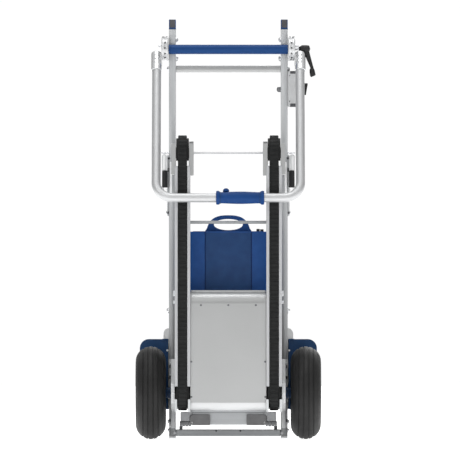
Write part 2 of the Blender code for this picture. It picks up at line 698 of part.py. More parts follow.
def make_toe_plate(looks):
    """A flat plate whose rear edge wraps a rod held in front of the uprights' feet."""
    top = TOE_LOW + TOE_THICK
    half = 0.1650
    front = HALF_DEPTH
    corner = 0.020
    outline = [(-half, HINGE_Y), (half, HINGE_Y), (half, front - corner), (half - corner, front),
               (-half + corner, front), (-half, front - corner)]
    plate = prism("toe_plate", outline, "Z", TOE_LOW, top, looks["aluminium"])
    knuckle = rod(
        "toe_knuckle", (-0.1440, HINGE_Y, HINGE_Z), (0.1440, HINGE_Y, HINGE_Z), 0.0075, looks["aluminium"], 20
    )
    notch_low, notch_high = 0.1440, 0.1700
    join(plate, knuckle)
    for side, sign in SIDES:
        low, high = sorted((sign * notch_low, sign * notch_high))
        cut(plate, box(f"{side}_toe_notch", (low, 0.050, 0), (high, 0.0780, 0.03), looks["aluminium"]))
    bore = rod(
        "toe_bore", (-0.2, HINGE_Y, HINGE_Z), (0.2, HINGE_Y, HINGE_Z), HINGE_RADIUS + GAP,
        looks["aluminium"], 20,
    )
    cut(plate, bore)
    set_origin(plate, (0, HINGE_Y, HINGE_Z))

    hinge = rod(
        "toe_hinge_rod", (-0.1660, HINGE_Y, HINGE_Z), (0.1660, HINGE_Y, HINGE_Z), HINGE_RADIUS,
        looks["steel"], 20,
    )
    for side, sign in SIDES:
        lug = box(
            f"{side}_hinge_lug", (min(sign * 0.1465, sign * POST_OUTER), LOAD_PLANE + GAP, 0.0069),
            (max(sign * 0.1465, sign * POST_OUTER), HINGE_Y + 0.0070, 0.0230), looks["steel"],
        )
        join(hinge, lug)


def make_catches(looks):
    """Swinging hooks on the outside of the uprights, each with a moulded sleeve."""
    place_y, pivot_z = -0.0040, 0.7888
    for side, sign in SIDES:
        low, high = sorted((sign * (POST_OUTER + GAP), sign * 0.1726))
        plate = box(
            f"{side}_catch_bracket", (low, 0.0100, 0.6260), (high, 0.0500, 0.7980), looks["aluminium"]
        )
        bevel(plate, 0.001)
        strip = prism(
            f"{side}_catch",
            [(sign * x, z) for x, z in ((0.1730, 0.7540), (0.1862, 0.7540), (0.1862, 0.7945),
                                        (0.1824, 0.7980), (0.1768, 0.7980), (0.1730, 0.7945))],
            "Y", place_y - 0.004, place_y + 0.004, looks["aluminium"],
        )
        sleeve = rod(
            f"{side}_catch_sleeve", (sign * 0.1788, place_y, 0.7068), (sign * 0.1788, place_y, 0.7557),
            0.0083, looks["black"], 20,
        )
        turn, wire, hook_x, hook_z = 0.0048, 0.0020, 0.1791, 0.6965
        bend = arc(hook_x, hook_z, turn + wire, 0, -150, 6) + arc(hook_x, hook_z, turn - wire, -150, 0, 6)
        outline = [(hook_x + turn + wire, 0.7110)] + bend + [(hook_x + turn - wire, 0.7110)]
        hook = prism(
            f"{side}_catch_hook", [(sign * x, z) for x, z in outline], "Y", place_y - wire, place_y + wire,
            looks["aluminium"],
        )
        join(strip, sleeve)
        join(strip, hook)
        set_origin(strip, (sign * 0.1788, place_y, pivot_z))


def main():
    clear_scene()
    looks = make_materials()
    make_uprights(looks)
    make_crossbars(looks)
    make_pivot_discs(looks)
    make_handle(looks)
    make_clamp_lever(looks)
    make_controls(looks)
    make_belts(looks)
    make_track_channels(looks)
    make_pulleys(looks)
    make_tension_plates(looks)
    make_drive_unit(looks)
    make_battery(looks)
    make_running_gear(looks)
    make_base(looks)
    make_toe_plate(looks)
    make_catches(looks)


main()
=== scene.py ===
"""The looks of the electric stair-climbing hand truck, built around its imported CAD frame.

Metres, +Z up. The operator stands on the -Y side, where the camera is, and X = 0 is the plane of
symmetry. Every piece is made in the frame's own coordinates and rides on one CAD body.
"""

import math

import bmesh
import bpy
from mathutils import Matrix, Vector


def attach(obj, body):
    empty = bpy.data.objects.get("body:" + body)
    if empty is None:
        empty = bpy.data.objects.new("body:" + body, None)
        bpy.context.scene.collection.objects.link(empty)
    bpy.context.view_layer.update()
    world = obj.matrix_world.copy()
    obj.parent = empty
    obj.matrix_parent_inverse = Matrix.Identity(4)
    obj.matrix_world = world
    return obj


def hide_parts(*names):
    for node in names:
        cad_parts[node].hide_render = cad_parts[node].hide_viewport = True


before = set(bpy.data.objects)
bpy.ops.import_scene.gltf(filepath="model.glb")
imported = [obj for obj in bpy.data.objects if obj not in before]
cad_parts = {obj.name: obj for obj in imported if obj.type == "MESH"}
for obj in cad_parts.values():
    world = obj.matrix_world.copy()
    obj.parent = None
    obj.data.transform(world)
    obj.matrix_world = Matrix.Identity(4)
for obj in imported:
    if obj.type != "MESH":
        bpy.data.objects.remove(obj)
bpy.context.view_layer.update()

SIDES = (("left", -1), ("right", 1))
TAU = math.tau
ACROSS, REARWARD, UP = (1, 0, 0), (0, -1, 0), (0, 0, 1)

# Where things are in the frame
POST_BACK, POST_FRONT = 0.0075, 0.0575
POST_INNER, POST_OUTER = 0.1479, 0.1674
POST_MIDDLE_Y = 0.0325
CAP_LOW, CAP_HIGH = 1.1523, 1.1800
PIVOT = Vector((0, -0.0075, 1.097))
BAR = Vector((0, -0.238, 0.6768))
REACH = (BAR - PIVOT).length
TOWARDS_BAR = (BAR - PIVOT).normalized()
LEG_X, LEG_RADIUS, LEG_BEND = 0.2015, 0.0127, 0.047
SOCKET_X, SOCKET_RADIUS = 0.2022, 0.0148
GRIP_LEFT, GRIP_RIGHT, BUTTON_X = -0.0342, 0.1002, -0.0064
GRIP_BAR_Z, TIE_ROD_Z = 1.0954, 0.6085
TRACK_X, TRACK_Y = 0.128, -0.1695
PULLEY_LOW, PULLEY_HIGH = 0.1307, 0.8026
COVER_BACK, COVER_LOW, COVER_HIGH, COVER_HALF, COVER_SHEET = -0.2040, 0.0786, 0.4161, 0.1060, 0.0016
WHEEL_X, WHEEL_Y, WHEEL_Z = 0.2174, -0.0885, 0.130
CROSSMEMBER_BACK = -0.1903
CATCH_X, CATCH_Y = 0.1788, -0.004


# ---------------------------------------------------------------- camera, world and light

def aim(obj, at):
    """Turns a camera or a light towards a point."""
    obj.rotation_mode = "QUATERNION"
    obj.rotation_quaternion = (Vector(at) - obj.location).to_track_quat("-Z", "Y")


def make_camera():
    """A long lens square on from behind, level with the middle of the object."""
    distance, seen_width = 24.0, 1.2958
    middle = Vector((0.0047, 0, 0.5868))
    camera = bpy.data.objects.new("camera", bpy.data.cameras.new("camera"))
    camera.data.sensor_width = 36.0
    camera.data.lens = camera.data.sensor_width * distance / seen_width
    camera.data.clip_start, camera.data.clip_end = 1.0, 200.0
    camera.location = middle - Vector((0, distance, 0))
    bpy.context.scene.collection.objects.link(camera)
    aim(camera, middle)
    bpy.context.scene.camera = camera


WHITE = (1.0, 1.0, 1.0, 1.0)
BACKDROP_STRENGTH = 1.02
# How bright the studio is from floor to ceiling, and from straight ahead to the side
HEIGHT_LIGHT = ((0.0, 0.95), (0.40, 0.74), (0.50, 0.52), (0.60, 0.56), (0.78, 0.84), (1.0, 1.10))
SIDE_LIGHT = ((0.0, 1.0), (0.45, 0.92), (0.80, 0.62), (1.0, 0.50))


def make_world():
    """White where the camera sees it, and a soft gradient where it lights the object."""
    world = bpy.data.worlds.new("studio")
    bpy.context.scene.world = world
    world.use_nodes = True
    tree = world.node_tree
    tree.nodes.clear()
    add = tree.nodes.new
    output, mix, path = add("ShaderNodeOutputWorld"), add("ShaderNodeMixShader"), add("ShaderNodeLightPath")
    seen, light = add("ShaderNodeBackground"), add("ShaderNodeBackground")
    coords, split, shift = add("ShaderNodeTexCoord"), add("ShaderNodeSeparateXYZ"), add("ShaderNodeMapRange")
    ramp, across = add("ShaderNodeValToRGB"), add("ShaderNodeValToRGB")
    aside, product = add("ShaderNodeMath"), add("ShaderNodeMixRGB")
    shift.inputs["From Min"].default_value = -1.0
    seen.inputs["Color"].default_value = WHITE
    seen.inputs["Strength"].default_value = BACKDROP_STRENGTH
    aside.operation, product.blend_type = "ABSOLUTE", "MULTIPLY"
    product.inputs["Fac"].default_value = 1.0

    def fill(target, stops):
        line = target.color_ramp
        line.elements[0].position, line.elements[1].position = stops[0][0], stops[-1][0]
        for place, _ in stops[1:-1]:
            line.elements.new(place)
        for element, (_, value) in zip(line.elements, stops):
            element.color = (value, value, value, 1.0)

    fill(ramp, HEIGHT_LIGHT)
    fill(across, SIDE_LIGHT)
    link = tree.links.new
    link(split.outputs["X"], aside.inputs[0])
    link(aside.outputs[0], across.inputs["Fac"])
    link(ramp.outputs["Color"], product.inputs[1])
    link(across.outputs["Color"], product.inputs[2])
    link(coords.outputs["Generated"], split.inputs[0])
    link(split.outputs["Z"], shift.inputs["Value"])
    link(shift.outputs["Result"], ramp.inputs["Fac"])
    link(product.outputs[0], light.inputs["Color"])
    link(path.outputs["Is Camera Ray"], mix.inputs["Fac"])
    link(light.outputs[0], mix.inputs[1])
    link(seen.outputs[0], mix.inputs[2])
    link(mix.outputs[0], output.inputs["Surface"])


LIGHTS = (  # name, place, side of the square in metres, power in watts
    ("key", (-1.6, -2.8, 2.4), 1.4, 16.0), ("fill", (3.4, -3.2, 1.6), 2.4, 7.0),
    ("back", (1.2, 4.4, 3.0), 2.6, 60.0), ("top", (0.0, -0.4, 4.6), 2.0, 40.0),
)
LIGHTS_AIM = (0, 0, 0.55)


def make_lights():
    """Four square area lights, all turned to the middle of the object."""
    for name, place, size, power in LIGHTS:
        light = bpy.data.lights.new(name, "AREA")
        light.shape = "SQUARE"
        light.size = size
        light.energy = power
        lamp = bpy.data.objects.new(name, light)
        lamp.location = place
        lamp.visible_camera = False
        bpy.context.scene.collection.objects.link(lamp)
        aim(lamp, LIGHTS_AIM)


# ---------------------------------------------------------------- materials

def linear(colour):
    """From display values of 0 to 255 to scene-linear ones."""
    return tuple(
        c / 12.92 if c <= 0.04045 else ((c + 0.055) / 1.055) ** 2.4 for c in (v / 255 for v in colour)
    )


TONE_SCALE = 1.5  # of the noise that tone and roughness drift with
LOW_NOISE, HIGH_NOISE = 0.30, 0.70  # the part of a noise's range that gets used
RELIEF_DEPTH = 0.0004


def surface(name, dark, light, rough, metallic, grain, rough_spread, relief=0.0, relief_scale=(900, 900, 900),
            specular=0.5, painted_shade_fade=None):
    """A material whose colour drifts between two tones along its grain, with its own fine relief.

    A painted shade is given as (low Z, high Z, share of the tone left at the low end): the base colour is
    multiplied darker towards the bottom, standing in for shade low down."""
    made = bpy.data.materials.new(name)
    made.use_nodes = True
    tree = made.node_tree
    shader = tree.nodes["Principled BSDF"]
    add, link = tree.nodes.new, tree.links.new
    coords = add("ShaderNodeTexCoord")

    def noise(scale, detail, size):
        mapping, texture = add("ShaderNodeMapping"), add("ShaderNodeTexNoise")
        mapping.inputs["Scale"].default_value = scale
        texture.inputs["Scale"].default_value = size
        texture.inputs["Detail"].default_value = detail
        link(coords.outputs["Object"], mapping.inputs["Vector"])
        link(mapping.outputs["Vector"], texture.inputs["Vector"])
        return texture.outputs["Fac"]

    tone = noise(grain, 5.0, TONE_SCALE)
    ramp = add("ShaderNodeValToRGB")
    for element, position, colour in zip(ramp.color_ramp.elements, (LOW_NOISE, HIGH_NOISE), (dark, light)):
        element.position = position
        element.color = (*linear(colour), 1.0)
    link(tone, ramp.inputs["Fac"])
    link(ramp.outputs["Color"], shader.inputs["Base Color"])
    # Painted shade: the base colour is darkened towards the bottom, by height alone
    if painted_shade_fade:
        split, height = add("ShaderNodeSeparateXYZ"), add("ShaderNodeMapRange")
        darker = add("ShaderNodeMixRGB")
        low, high, share = painted_shade_fade
        for socket, value in (("From Min", low), ("From Max", high), ("To Min", share), ("To Max", 1.0)):
            height.inputs[socket].default_value = value
        darker.blend_type = "MULTIPLY"
        darker.inputs["Fac"].default_value = 1.0
        link(coords.outputs["Object"], split.inputs[0])
        link(split.outputs["Z"], height.inputs["Value"])
        link(ramp.outputs["Color"], darker.inputs[1])
        link(height.outputs["Result"], darker.inputs[2])
        link(darker.outputs[0], shader.inputs["Base Color"])
    spread = add("ShaderNodeMapRange")
    for socket, value in (("From Min", LOW_NOISE), ("From Max", HIGH_NOISE), ("To Min", rough - rough_spread),
                          ("To Max", rough + rough_spread)):
        spread.inputs[socket].default_value = value
    link(noise(tuple(g * 0.6 for g in grain), 3.0, TONE_SCALE), spread.inputs["Value"])
    link(spread.outputs["Result"], shader.inputs["Roughness"])
    if relief:
        bump = add("ShaderNodeBump")
        bump.inputs["Strength"].default_value = relief
        bump.inputs["Distance"].default_value = RELIEF_DEPTH
        link(noise(relief_scale, 2.0, 1.0), bump.inputs["Height"])
        link(bump.outputs["Normal"], shader.inputs["Normal"])
    shader.inputs["Metallic"].default_value = metallic
    shader.inputs["Specular IOR Level"].default_value = specular
    made.diffuse_color = (*linear(light), 1.0)
    return made


# How closely a surface's tones are packed along X, Y and Z
ALONG_X, ALONG_Z, EVEN, COARSE = (3, 90, 90), (90, 90, 3), (30, 30, 30), (4, 4, 4)
# And its relief
BRUSHED_X, BRUSHED_Z = (60, 2500, 2500), (2500, 2500, 60)
MOULDED, RUBBER = (1400, 1400, 1400), (1800, 1800, 1800)

# The record's slot, darker and lighter tone, roughness, metallic, tones, spread of the roughness, and for
# some the relief's strength and fineness, the specular level and a painted shade towards the bottom
LOOKS = {
    "aluminium": ("aluminium", (196, 198, 200), (206, 208, 209), 0.38, 0.80, ALONG_Z, 0.04, 0.05, BRUSHED_Z),
    "tube": ("tube", (190, 191, 192), (196, 197, 198), 0.50, 0.85, EVEN, 0.03, 0.03),
    "steel": ("steel", (150, 152, 156), (172, 174, 178), 0.28, 0.95, ALONG_X, 0.05, 0.04),
    "cast": ("cast", (196, 197, 198), (208, 209, 210), 0.36, 0.60, EVEN, 0.05, 0.15),
    "sheet": ("sheet", (174, 175, 175), (178, 179, 179), 0.34, 0.85, COARSE, 0.01),
    "motor": ("motor", (30, 30, 32), (42, 42, 44), 0.42, 0.30, EVEN, 0.05, 0.15),
    "bar": ("bar", (22, 60, 111), (27, 67, 121), 0.46, 0.15, ALONG_X, 0.05, 0.06, BRUSHED_X, 0.18),
    "blue": ("blue", (21, 68, 130), (27, 75, 139), 0.42, 0.00, EVEN, 0.06, 0.20, MOULDED, 0.25),
    "fender": ("fender", (21, 54, 90), (27, 62, 102), 0.40, 0.00, EVEN, 0.06, 0.20, MOULDED, 0.25),
    "black": ("black", (27, 27, 28), (37, 37, 38), 0.48, 0.00, EVEN, 0.07, 0.20, MOULDED, 0.30),
    "grey": ("grey", (90, 91, 93), (102, 103, 105), 0.52, 0.00, EVEN, 0.06, 0.20, MOULDED, 0.40),
    "case": ("case", (182, 183, 184), (189, 190, 191), 0.46, 0.05, EVEN, 0.05, 0.10),
    "belt": ("belt", (16, 17, 17), (26, 27, 27), 0.60, 0.00, EVEN, 0.08, 0.30, RUBBER, 0.25),
    "pad": ("pad", (86, 86, 87), (98, 98, 99), 0.70, 0.00, EVEN, 0.06, 0.30, RUBBER, 0.35),
    "tyre": ("tyre", (13, 13, 13), (22, 22, 22), 0.56, 0.00, EVEN, 0.08, 0.35, RUBBER, 0.36),
    # Painted shade: this aluminium is darkened towards the bottom, standing in for the shade near the tracks
    # and tyres
    "post": ("aluminium", (189, 191, 193), (198, 200, 201), 0.40, 0.80, ALONG_Z, 0.04, 0.05, BRUSHED_Z,
             0.50, (0.05, 0.85, 0.48)),
    "white_metal": ("steel", (244, 245, 245), (250, 250, 250), 0.34, 0.15, EVEN, 0.05, 0.03),
    "polished": ("cast", (216, 217, 218), (226, 227, 228), 0.20, 0.95, EVEN, 0.04, 0.03),
    "dark_steel": ("steel", (92, 93, 96), (122, 123, 126), 0.34, 0.90, EVEN, 0.06, 0.10),
    "bracket": ("aluminium", (204, 205, 206), (212, 213, 214), 0.62, 0.45, EVEN, 0.05, 0.05),
    # A lighter copy of the sheet: painted light that lifts the outer plates and shield out of their shade
    "painted_lit_sheet": ("sheet", (198, 199, 199), (203, 204, 204), 0.34, 0.85, COARSE, 0.01),
    # A lighter copy of the sheet: painted highlight for the cover's lower curve reflecting the floor
    "painted_highlight_bend": ("sheet", (205, 206, 207), (210, 211, 212), 0.46, 0.20, COARSE, 0.01),
    "rail": ("aluminium", (178, 179, 181), (187, 188, 190), 0.45, 0.75, ALONG_Z, 0.04, 0.05, BRUSHED_Z),
    "plain": ("aluminium", (158, 160, 162), (166, 168, 170), 0.46, 0.75, ALONG_X, 0.04, 0.05),
    "plate": ("aluminium", (176, 178, 180), (184, 186, 188), 0.44, 0.75, ALONG_X, 0.04, 0.05, BRUSHED_X),
    "block": ("aluminium", (124, 125, 127), (134, 135, 137), 0.50, 0.50, EVEN, 0.05, 0.10),
    "knob": ("case", (112, 113, 115), (122, 123, 125), 0.45, 0.40, EVEN, 0.05, 0.10),
    "rod": ("steel", (140, 142, 144), (150, 152, 154), 0.50, 0.60, ALONG_X, 0.04, 0.04),
    "light_rod": ("steel", (196, 197, 198), (204, 205, 206), 0.50, 0.50, ALONG_X, 0.04, 0.04),
    "grip_blue": ("blue", (17, 56, 110), (22, 63, 119), 0.50, 0.00, EVEN, 0.06, 0.20, MOULDED, 0.16),
    "foot_cap": ("pad", (208, 209, 210), (216, 217, 218), 0.50, 0.10, EVEN, 0.06, 0.20),
    "bright": ("steel", (206, 207, 209), (222, 223, 225), 0.26, 0.80, EVEN, 0.05, 0.04),
    "mark": ("black", (62, 63, 65), (78, 79, 81), 0.60, 0.00, EVEN, 0.05, 0.10),
    "inset": ("grey", (68, 68, 71), (79, 79, 82), 0.55, 0.00, EVEN, 0.06, 0.20, MOULDED, 0.30),
    "panel": ("blue", (23, 58, 104), (28, 65, 113), 0.50, 0.00, EVEN, 0.06, 0.25, MOULDED, 0.25),
    "groove": ("blue", (10, 34, 80), (15, 40, 88), 0.55, 0.00, EVEN, 0.06, 0.20, EVEN, 0.20),
    "cap_blue": ("blue", (24, 56, 104), (30, 62, 112), 0.45, 0.00, EVEN, 0.06, 0.20, EVEN, 0.25),
}
MATERIALS = {name: (slot, surface(name, *values)) for name, (slot, *values) in LOOKS.items()}


# ---------------------------------------------------------------- shape helpers

SHARP_ANGLE = 32  # degrees; flatter corners are not rounded


def piece(name, bm, look, body="root", stands_for=None, bevel=0.0, segments=2, smooth=SHARP_ANGLE):
    """Ends a bmesh, or a list of them, as a piece of the object, on its body and with its look's material."""
    if isinstance(bm, list):
        bm = merged(*bm)
    bmesh.ops.recalc_face_normals(bm, faces=bm.faces)
    mesh = bpy.data.meshes.new(name)
    bm.to_mesh(mesh)
    bm.free()
    slot, material = MATERIALS[look]
    mesh.materials.append(material)
    mesh.polygons.foreach_set("use_smooth", [True] * len(mesh.polygons))
    mesh.set_sharp_from_angle(angle=math.radians(smooth))
    obj = bpy.data.objects.new(name, mesh)
    bpy.context.scene.collection.objects.link(obj)
    if bevel:
        rounding = obj.modifiers.new("rounding", "BEVEL")
        rounding.width, rounding.segments = bevel, segments
        rounding.limit_method, rounding.angle_limit = "ANGLE", math.radians(SHARP_ANGLE)
        rounding.harden_normals = True
    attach(obj, body)
    if stands_for:
        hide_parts(stands_for)


def node_shape(node):
    """The CAD node's own shape as a bmesh with its split corners joined again."""
    bm = bmesh.new()
    bm.from_mesh(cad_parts[node].data)
    bmesh.ops.remove_doubles(bm, verts=bm.verts, dist=1e-6)
    for layer in list(bm.loops.layers.uv):
        bm.loops.layers.uv.remove(layer)
    bmesh.ops.dissolve_limit(bm, angle_limit=math.radians(0.4), verts=bm.verts, edges=bm.edges)
    return bm


def refined(node, look, body="root", bevel=0.0006):
    """A piece with the CAD node's shape, rounded edges and smooth curves."""
    piece(f"{node}_skin", node_shape(node), look, body, node, bevel)


def merged(*shapes):
    """Several bmeshes as one."""
    whole = bmesh.new()
    for bm in shapes:
        part = bpy.data.meshes.new("part")
        bm.to_mesh(part)
        bm.free()
        whole.from_mesh(part)
        bpy.data.meshes.remove(part)
    return whole


def solid(outline, axis, start, end):
    """A flat outline extruded along an axis. Its points are (y, z) for X, (x, z) for Y, (x, y) for Z."""
    place = {
        "X": lambda a, b: (start, a, b), "Y": lambda a, b: (a, start, b), "Z": lambda a, b: (a, b, start),
    }[axis]
    bm = bmesh.new()
    face = bm.faces.new([bm.verts.new(place(*p)) for p in outline])
    extruded = bmesh.ops.extrude_face_region(bm, geom=[face])["geom"]
    moved = [v for v in extruded if isinstance(v, bmesh.types.BMVert)]
    along = Vector([float(axis == letter) for letter in "XYZ"]) * (end - start)
    bmesh.ops.translate(bm, vec=along, verts=moved)
    return bm


def arc(centre_a, centre_b, radius, start, end, steps):
    """Points of an arc; angles in degrees, from the first axis towards the second."""
    turns = [math.radians(start + (end - start) * i / steps) for i in range(steps + 1)]
    return [(centre_a + radius * math.cos(t), centre_b + radius * math.sin(t)) for t in turns]


def rounded(low_a, low_b, high_a, high_b, radius, steps=6):
    """A rectangle with round corners, as an outline."""
    corners = (
        (high_a - radius, high_b - radius, 0), (low_a + radius, high_b - radius, 90),
        (low_a + radius, low_b + radius, 180), (high_a - radius, low_b + radius, 270),
    )
    return [p for a, b, turn in corners for p in arc(a, b, radius, turn, turn + 90, steps)]


def block(low, high):
    """A sharp-edged box between two corners."""
    (x0, y0, z0), (x1, y1, z1) = low, high
    return solid([(x0, y0), (x1, y0), (x1, y1), (x0, y1)], "Z", z0, z1)


def mirrored(sign, low, high):
    """The two X limits of a mirrored piece, in rising order."""
    return sorted((sign * low, sign * high))


def plate(sign, low, high, bottom, top, radius, start, end):
    """A mirrored rectangle with round corners, standing across Y from start to end."""
    low, high = mirrored(sign, low, high)
    return solid(rounded(low, bottom, high, top, radius), "Y", start, end)


def rod(start, end, radius, chamfer):
    """The profile of a round bar with chamfered ends."""
    return [(start, 0), (start, radius - chamfer), (start + chamfer, radius), (end - chamfer, radius),
            (end, radius - chamfer), (end, 0)]


def with_mirror(half):
    """A line followed by its own mirror image in the first axis, back to where it began."""
    return half + [(-a, b) for a, b in reversed(half)]


def upright_frame(direction):
    """Two directions across a given one, so that parts turned about it always lie the same way."""
    along = Vector(direction).normalized()
    helper = Vector((0, 0, 1)) if abs(along.z) < 0.9 else Vector((1, 0, 0))
    across = helper.cross(along).normalized()
    return along, across, along.cross(across)


def turned(profile, centre, direction, steps=48, closed=False):
    """A profile of (along, radius) points turned about a direction. A radius may depend on the angle."""
    along, side, up = upright_frame(direction)
    centre = Vector(centre)
    bm = bmesh.new()
    rings = []
    for place, radius in profile:
        if not callable(radius) and radius <= 1e-7:
            rings.append([bm.verts.new(centre + along * place)])
            continue
        ring = []
        for i in range(steps):
            turn = TAU * i / steps
            reach = radius(turn) if callable(radius) else radius
            out = side * math.cos(turn) + up * math.sin(turn)
            ring.append(bm.verts.new(centre + along * place + out * reach))
        rings.append(ring)
    pairs = list(zip(rings, rings[1:]))
    if closed:
        pairs.append((rings[-1], rings[0]))
    for first, second in pairs:
        for i in range(steps):
            j = (i + 1) % steps
            corners = [first[i % len(first)], first[j % len(first)],
                       second[j % len(second)], second[i % len(second)]]
            corners = [c for k, c in enumerate(corners) if c not in corners[:k]]
            if len(corners) > 2:
                bm.faces.new(corners)
    return bm


def swept(points, radius, sides=32):
    """A tube along a line of points, with one radius or a list of one for each point."""
    points = [Vector(p) for p in points]
    bm = bmesh.new()
    rings = []
    side = None
    for i, point in enumerate(points):
        along = (points[min(i + 1, len(points) - 1)] - points[max(i - 1, 0)]).normalized()
        if side is None:
            _, side, _ = upright_frame(along)
        side = (side - along * side.dot(along)).normalized()
        up = along.cross(side)
        reach = radius[i] if isinstance(radius, list) else radius
        rings.append([
            bm.verts.new(point + (side * math.cos(TAU * k / sides) + up * math.sin(TAU * k / sides)) * reach)
            for k in range(sides)
        ])
    for first, second in zip(rings, rings[1:]):
        for k in range(sides):
            j = (k + 1) % sides
            bm.faces.new((first[k], first[j], second[j], second[k]))
    bm.faces.new(rings[0])
    bm.faces.new(rings[-1])
    return bm


def hexagon(across_flats):
    """The radius of a hexagon at an angle."""
    return lambda turn: across_flats / 2 / math.cos((turn + math.pi / 6) % (math.pi / 3) - math.pi / 6)


def dome_head(at, direction, radius, height):
    """A button-head screw: a low dome with a hexagon socket."""
    flats = hexagon(radius * 0.9)
    profile = [(0, 0), (0, radius), (height * 0.18, radius)]
    profile += [(height * math.sin(t), radius * (0.42 + 0.58 * math.cos(t))) for t in
                [math.radians(a) for a in (18, 36, 54, 72, 90)]]
    profile += [(height, flats), (height * 0.45, flats), (height * 0.4, 0)]
    return turned(profile, at, direction, 36)


def hex_bolt(at, direction, across_flats, height, washer=0.0):
    """A hexagon head with a chamfered top, on a washer if one is given."""
    base = height * 0.22 if washer else 0.0
    head = hexagon(across_flats)
    profile = [(base, 0), (base, head), (base + height * 0.85, head),
               (height + base, lambda turn: min(head(turn), across_flats * 0.49)), (height + base, 0)]
    shapes = [turned(profile, at, direction, 48)]
    if washer:
        shapes.append(turned([(0, 0), (0, washer), (base, washer), (base, 0)], at, direction, 40))
    return merged(*shapes)


def on_handle(x, along, across=0.0):
    """A point by its distance from the pivot along the leaning handle, and out of the handle's plane."""
    out = Vector((0, TOWARDS_BAR.z, -TOWARDS_BAR.y))
    return Vector((x, PIVOT.y, PIVOT.z)) + TOWARDS_BAR * along + out * across


def carved(bm, *cutters):
    """A shape with the other shapes cut out of it."""
    def temporary(shape):
        mesh = bpy.data.meshes.new("temporary")
        bmesh.ops.recalc_face_normals(shape, faces=shape.faces)
        shape.to_mesh(mesh)
        shape.free()
        obj = bpy.data.objects.new("temporary", mesh)
        bpy.context.scene.collection.objects.link(obj)
        return obj

    whole, tool = temporary(bm), temporary(merged(*cutters))
    cut = whole.modifiers.new("cut", "BOOLEAN")
    cut.operation, cut.solver, cut.object = "DIFFERENCE", "EXACT", tool
    cut.use_self = len(cutters) > 1
    result = bmesh.new()
    result.from_mesh(whole.evaluated_get(bpy.context.evaluated_depsgraph_get()).to_mesh())
    bpy.data.objects.remove(whole)
    bpy.data.objects.remove(tool)
    return result


# ---------------------------------------------------------------- frame

def make_uprights():
    """Both uprights with their feet and their two-coloured caps."""
    wall, proud = 0.0022, 0.0004
    for side, sign in SIDES:
        low, high = mirrored(sign, POST_INNER, POST_OUTER)
        # The uprights' look darkens them towards the bottom, which is painted shade
        refined(f"{side}_upright", "post", bevel=0.0005)
        refined(f"{side}_foot", "foot_cap", bevel=0.0008)
        shell = solid(rounded(low, POST_BACK, high, POST_FRONT, wall), "Z", CAP_LOW, CAP_HIGH)
        piece(f"{side}_cap_shell", shell, "cap_blue", stands_for=f"{side}_end_cap", bevel=0.0012, segments=3)
        inset = solid(rounded(low + wall, CAP_LOW + 0.0049, high - wall, CAP_HIGH - 0.0008, 0.0012), "Y",
                      POST_BACK - 0.0005, POST_BACK + 0.004)
        piece(f"{side}_cap_inset", inset, "inset", bevel=0.0004)
        collar = rounded(low - proud, POST_BACK - proud, high + proud, POST_FRONT - 0.0002, 0.0024)
        collar = solid(collar, "Z", CAP_LOW + 0.0002, CAP_LOW + 0.0026)
        piece(f"{side}_cap_collar", collar, "fender", bevel=0.0004)


def make_crossbars():
    """The two crossbars, the blue grip bar and the two thin rods between the tracks."""
    refined("upper_crossbar", "sheet", bevel=0.0004)
    refined("bottom_crossbar", "plain", bevel=0.001)
    bar = turned(rod(-0.168, 0.168, 0.0134, 0.0006), (0, PIVOT.y, GRIP_BAR_Z), ACROSS, 64)
    piece("grip_bar_skin", bar, "bar", stands_for="grip_bar")
    tie = with_mirror([(-0.106, 0), (-0.106, 0.004), (-0.1056, 0.00435)])
    piece("middle_rod", turned(tie, (0, TRACK_Y, TIE_ROD_Z), ACROSS, 32), "rod", stands_for="middle_tie_rod")
    axle = with_mirror([(-0.1586, 0), (-0.1586, 0.0056), (-0.158, 0.0062), (-0.097, 0.0062),
                        (-0.0965, 0.0056), (-0.0965, 0.0028)])
    piece("idler_axle_skin", turned(axle, (0, TRACK_Y, PULLEY_HIGH), ACROSS, 32), "light_rod",
          stands_for="idler_axle")


def make_pivot_discs():
    """The fixed halves on the uprights, with the ears that hold them and their index marks."""
    for side, sign in SIDES:
        out = (sign, 0, 0)
        rim = [(0.1684, 0), (0.1684, 0.0298), (0.1692, 0.0318), (0.1706, 0.033), (0.1726, 0.0335),
               (0.1748, 0.0335), (0.1764, 0.033), (0.1775, 0.0318), (0.1779, 0.03), (0.1779, 0)]
        disc = turned(rim, PIVOT, out, 80)
        ear = solid(rounded(PIVOT.y - 0.02, PIVOT.z - 0.0332, 0.046, PIVOT.z + 0.0332, 0.004), "X",
                    sign * 0.1687, sign * 0.1735)
        piece(f"{side}_disc_skin", [disc, ear], "cast", stands_for=f"{side}_pivot_disc", bevel=0.0006)
        band = turned([(0.176, 0), (0.176, 0.0328), (0.18, 0.0328), (0.18, 0)], PIVOT, out, 80)
        piece(f"{side}_disc_band", band, "cast")
        wedges = []
        wedge = [(0, 0), (0, 0.0036), (0.0022, 0.0036), (0.0027, 0.003), (0.0027, 0)]
        for turn in [math.radians(a) for a in (-140, -115, -87, -60)]:
            away = Vector((0, math.sin(turn), math.cos(turn)))
            at = Vector((sign * 0.1781, PIVOT.y, PIVOT.z)) + away * 0.0318
            wedges.append(turned(wedge, at, away, 3))
        for near, far in ((0.1702, 0.1766), (0.1796, 0.1866)):
            low, high = mirrored(sign, near, far)
            wedges.append(block((low, PIVOT.y - 0.008, PIVOT.z + 0.0316),
                                (high, PIVOT.y + 0.002, PIVOT.z + 0.0344)))
        piece(f"{side}_disc_index", wedges, "mark")


